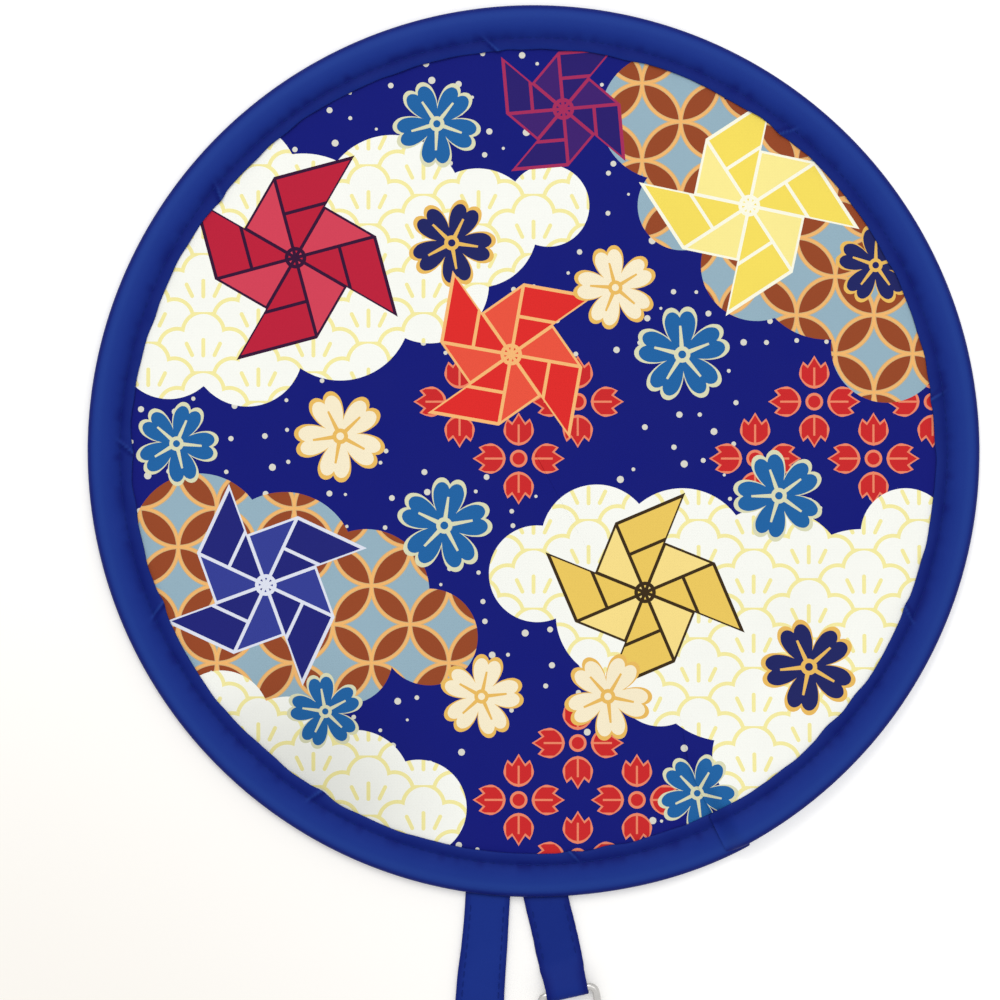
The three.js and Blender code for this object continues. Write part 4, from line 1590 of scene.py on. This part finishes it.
def strap_section(width, layer):
    """Section of one layer: across and thickness places, and how much painted shade its edge gets."""
    edge = layer / 2
    flat = width / 2 - edge
    points = []
    for share in np.linspace(-1, 1, SECTION_POINTS):
        crowned = edge * (1 + SECTION_CROWN * (1 - share * share))
        points.append((share * flat, crowned, abs(share) ** 8))
    for turn in np.radians((45, 0, -45)):
        points.append((flat + edge * math.cos(turn), edge * math.sin(turn), 1.0))
    for share in np.linspace(1, -1, SECTION_POINTS):
        points.append((share * flat, -edge, abs(share) ** 8))
    for turn in np.radians((225, 180, 135)):
        points.append((edge * math.cos(turn) - flat, edge * math.sin(turn), 1.0))
    return np.array(points)


def make_strap(name, strap, sizes, material, seed, shade):
    """A strap of two layers: one strip folded round its bar."""
    layer = sizes.layer / MM
    line = strap_line(strap, layer, BAR_ROOM)
    section = strap_section(sizes.strap_width / MM, layer)
    slope = unit(np.gradient(line, axis=0))
    distance = distances(line)
    folded = eased(-np.abs(distance - distance[-1] / 2), *FOLD_SPAN)
    wander = np.random.default_rng(seed).uniform(-WANDER, WANDER, WANDER_KNOTS)
    wander = np.interp(distance, np.linspace(0, distance[-1], WANDER_KNOTS), wander)
    points, dark = [], []
    for i, (along, height) in enumerate(line):
        normal = np.array([-slope[i, 1], slope[i, 0]])
        for across, thick, edge in section:
            wide = strap.widened(across * (1 - FOLD_NARROWED * folded[i]) + wander[i], along)
            reach = strap.tucked(wide, along) + normal[0] * thick
            radius = strap.place(wide, reach, 0).length
            sewn = 1 - float(eased(radius, STRAP_TIGHT, STRAP_CLEAR))
            level = (height + normal[1] * thick) * (1 - STRAP_THINNED * sewn) + STRAP_LIFT * sewn
            points.append(strap.place(wide, reach, level))
            # Painted shade: darker along the edges, at the sewn root and along the fold's edges, and by
            # shade over the whole strap
            fold_edge = folded[i] * (abs(across) > FOLD_DARK_FROM)
            dark.append(shade + EDGE_DARK * edge + SEWN_DARK * sewn + FOLD_DARK * fold_edge)
    rows, columns = len(line), len(section)
    faces = [tuple(reversed(face)) for face in grid_faces(rows, columns, True)]
    faces.append(tuple(range(columns)))
    faces.append(tuple(reversed(range((rows - 1) * columns, rows * columns))))
    around = distances(section[:, :2])
    uv = [(around[v % columns] * MM, distance[v // columns] * MM) for face in faces for v in face]
    piece = make_piece(name, [p * MM for p in points], faces, material, uv=uv, values={"crease": dark})
    turn_outwards(piece.data)
    return piece


class FAN_OT_straps(bpy.types.Operator):
    """Makes the long strap with the hook and the short strap with the ring"""

    bl_idname = "fan.straps"
    bl_label = "Straps"

    def execute(self, context):
        sizes = context.scene.fan_sizes
        colours = context.scene.fan_colours
        cloth = shared_material("tape_cloth", tape_cloth, colours)
        thread = shared_material("sewing_thread", sewing_thread, colours)
        # The right strap is made a little darker all over by its shade
        for side, flip, seed, shade, spread in (
            ("left", "hook_flip", 21, 0.0, 1.2),
            ("right", "ring_flip", 22, 0.3, 0.0),
        ):
            body = f"{side}_strap"
            strap = StrapFrame(f"{side}_strap_swing", flip, spread)
            piece = make_strap(f"{side}_webbing", strap, sizes, cloth, seed, shade)
            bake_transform(piece)
            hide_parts(body)
            stitches = self.seams(side, strap, sizes, thread)
            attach(stitches, body)
            if side == "left":
                self.declare(piece, strap, sizes, stitches)
        return {"FINISHED"}

    def seams(self, side, strap, sizes, thread):
        """Two rows along the edges, and one across the foot of the hook's loop."""
        level = 2 * sizes.layer / MM + STRAP_SEAM_PROUD
        inset = sizes.strap_width / MM / 2 - STRAP_SEAM_INSET
        foot = strap.length - STRAP_SEAM_END
        count = max(4, round((foot - STRAP_SEAM_START) / STRAP_STITCH_PITCH))
        lines = []
        for across in (-inset, inset):
            row = []
            for along in np.linspace(STRAP_SEAM_START, foot, 60):
                row.append(strap.place(strap.widened(across, along), along, level) * MM)
            lines.append(row)
        edges = sew(f"{side}_edge_stitches", lines, count, sizes, thread)
        if side == "right":
            return edges
        reach = inset - CROSS_INSET
        spots = np.linspace(-reach, reach, 8)
        row = [strap.place(across, foot + CROSS_AHEAD, level) * MM for across in spots]
        cross = sew(f"{side}_cross_stitches", [row], CROSS_STITCHES, sizes, thread)
        cross.parent = edges
        return edges

    def declare(self, piece, strap, sizes, stitches):
        """Works out a path along the long strap's middle, which nothing uses."""
        path = [strap.place(0, along, sizes.layer / MM) * MM for along in np.linspace(0, strap.length, 30)]


# The ring and the hook in millimetres, from the bar that each turns on
BAR_RADIUS = 1.0
BAR_SIDES = 20
RING_SIDE = 7.5
RING_DEPTH = 11.0
RING_CORNER = 2.0
RIVET_PROFILE = ((0.0, 1.86), (0.5, 1.83), (0.9, 1.74), (1.15, 1.62), (1.2, 1.55), (0.75, 1.5))
CAST_VOXEL = 0.1
CAST_SMOOTHING = 18
CAST_SHARE = 0.2
MERGE_DISTANCE = 0.00001


def cubic(start, first, second, end, count):
    """Points along a curve with two handles, up to but without its end."""
    share = np.linspace(0, 1, count, endpoint=False)[:, None]
    rest = 1 - share
    points = [np.array(p, float) for p in (start, first, second, end)]
    weights = (rest**3, 3 * share * rest**2, 3 * share**2 * rest, share**3)
    return sum(weight * point for weight, point in zip(weights, points))


def bar_turns():
    """Even turns round a bar."""
    return 2 * math.pi * np.arange(BAR_SIDES) / BAR_SIDES


def ring_path():
    """The D-shaped middle line of the ring, whose straight side is its bar."""
    side, depth, corner = RING_SIDE, RING_DEPTH, RING_CORNER
    soft = corner / 3
    return np.concatenate(
        [
            np.linspace((side - corner, 0.0), (corner - side, 0.0), 16, endpoint=False),
            cubic((corner - side, 0), (soft - side, 0), (-side, -soft), (-side, -corner), 10),
            cubic((-side, -corner), (-side, corner - depth), (-side / 2, -depth), (0, -depth), 24),
            cubic((0, -depth), (side / 2, -depth), (side, corner - depth), (side, -corner), 24),
            cubic((side, -corner), (side, -soft), (side - soft, 0), (side - corner, 0), 10),
        ]
    )


class FAN_OT_fittings(bpy.types.Operator):
    """Makes the ring and the snap hook, and gives the hoop wire its steel"""

    bl_idname = "fan.fittings"
    bl_label = "Metal fittings"

    def execute(self, context):
        colours = context.scene.fan_colours
        nickel = shared_material("nickel_plate", metal, "nickel_plate", colours.nickel, NICKEL_ROUGHNESS)
        steel = shared_material("spring_steel", metal, "spring_steel", colours.steel, STEEL_ROUGHNESS)
        for name, node in frame["nodes"].items():
            if name.startswith("hoop_wire"):
                node.data.materials.clear()
                node.data.materials.append(steel)
        for piece, body, node in (
            (self.ring(nickel), "ring", "d_ring"),
            (self.cast("snap_hook", "hook_body", nickel), "hook", "hook_body"),
            (self.cast("snap_gate", "hook_gate", nickel), "gate", "hook_gate"),
            (self.rivet(nickel), "hook", "hook_pin"),
        ):
            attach(piece, body)
            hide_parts(node)
        return {"FINISHED"}

    def ring(self, material):
        """The ring, bent from round wire, with its far side resting on the table."""
        joint = JOINTS["ring_flip"]
        bar = Vector(joint["pos_m"]) / MM
        across = -Vector(joint["axis"])
        tilt = math.asin((bar.z - BAR_RADIUS) / RING_DEPTH)
        back = Vector((0, 0, 1)).cross(across)
        up = Vector((0, 0, 1)) * math.cos(tilt) - back * math.sin(tilt)
        back = up.cross(across)
        path = ring_path()
        run = unit(np.roll(path, -1, axis=0) - np.roll(path, 1, axis=0))
        points = []
        for (x, y), (east, north) in zip(path, run):
            for turn in bar_turns():
                aside = BAR_RADIUS * math.cos(turn)
                flat = across * (x + aside * north) + back * (y - aside * east)
                points.append((bar + flat + up * (BAR_RADIUS * math.sin(turn))) * MM)
        faces = grid_faces(len(path) + 1, BAR_SIDES, True)
        faces = [tuple(v % len(points) for v in face) for face in faces]
        piece = make_piece("d_ring_bar", points, faces, material)
        turn_outwards(piece.data)
        return piece

    def cast(self, name, node, material):
        """A rounded casting in the shape of one solid."""
        shape = bmesh.new()
        shape.from_mesh(frame["nodes"][node].data)
        bmesh.ops.remove_doubles(shape, verts=shape.verts, dist=MERGE_DISTANCE)
        mesh = bpy.data.meshes.new(name)
        shape.to_mesh(mesh)
        shape.free()
        piece = add_object(name, mesh)
        remesh = piece.modifiers.new("cast", "REMESH")
        remesh.mode = "VOXEL"
        remesh.voxel_size = CAST_VOXEL * MM
        remesh.use_smooth_shade = True
        smooth = piece.modifiers.new("rounded", "SMOOTH")
        smooth.factor = 0.5
        smooth.iterations = CAST_SMOOTHING
        fewer = piece.modifiers.new("fewer", "DECIMATE")
        fewer.ratio = CAST_SHARE
        apply_modifiers(piece)
        piece.data.materials.clear()
        piece.data.materials.append(material)
        return piece

    def rivet(self, material):
        """The gate's rivet, with a low head on each side of the hook."""
        centre = Vector(JOINTS["gate_press"]["pos_m"]) / MM
        profile = list(RIVET_PROFILE) + [(reach, -height) for reach, height in reversed(RIVET_PROFILE)]
        points = [(centre + Vector((0, 0, profile[0][1]))) * MM]
        for reach, height in profile[1:-1]:
            for turn in bar_turns():
                spot = Vector((reach * math.cos(turn), reach * math.sin(turn), height))
                points.append((centre + spot) * MM)
        points.append((centre + Vector((0, 0, profile[-1][1]))) * MM)
        rows = len(profile) - 2
        faces = [tuple(v + 1 for v in face) for face in grid_faces(rows, BAR_SIDES, True)]
        last = len(points) - 1
        for side in range(BAR_SIDES):
            after = (side + 1) % BAR_SIDES
            faces.append((0, 1 + after, 1 + side))
            faces.append((last, last - BAR_SIDES + side, last - BAR_SIDES + after))
        piece = make_piece("snap_rivet", points, faces, material)
        turn_outwards(piece.data)
        return piece


class FAN_PT_panel(bpy.types.Panel):
    """Lists the steps that dress the fan"""

    bl_label = "Twist-fold fan"
    bl_idname = "FAN_PT_panel"
    bl_space_type = "VIEW_3D"
    bl_region_type = "UI"
    bl_category = "Fan"

    def draw(self, context):
        for group in (context.scene.fan_sizes, context.scene.fan_colours):
            for key in group.__annotations__:
                self.layout.prop(group, key)
        for operator in STEPS:
            self.layout.operator(operator.bl_idname)


STEPS = (
    FAN_OT_stage,
    FAN_OT_fittings,
    FAN_OT_straps,
    FAN_OT_cloth,
    FAN_OT_tape,
    FAN_OT_rim_stitches,
)
CLASSES = (FanSizes, FanColours, *STEPS, FAN_PT_panel)


def register():
    for item in CLASSES:
        bpy.utils.register_class(item)
    bpy.types.Scene.fan_sizes = PointerProperty(type=FanSizes)
    bpy.types.Scene.fan_colours = PointerProperty(type=FanColours)


def unregister():
    del bpy.types.Scene.fan_colours
    del bpy.types.Scene.fan_sizes
    for item in reversed(CLASSES):
        bpy.utils.unregister_class(item)


def main():
    """Makes every piece."""
    register()
    bpy.ops.fan.stage()
    bpy.ops.fan.fittings()
    bpy.ops.fan.straps()
    bpy.ops.fan.cloth()
    bpy.ops.fan.tape()
    bpy.ops.fan.rim_stitches()
    bpy.context.view_layer.update()


if __name__ == "__main__":
    main()
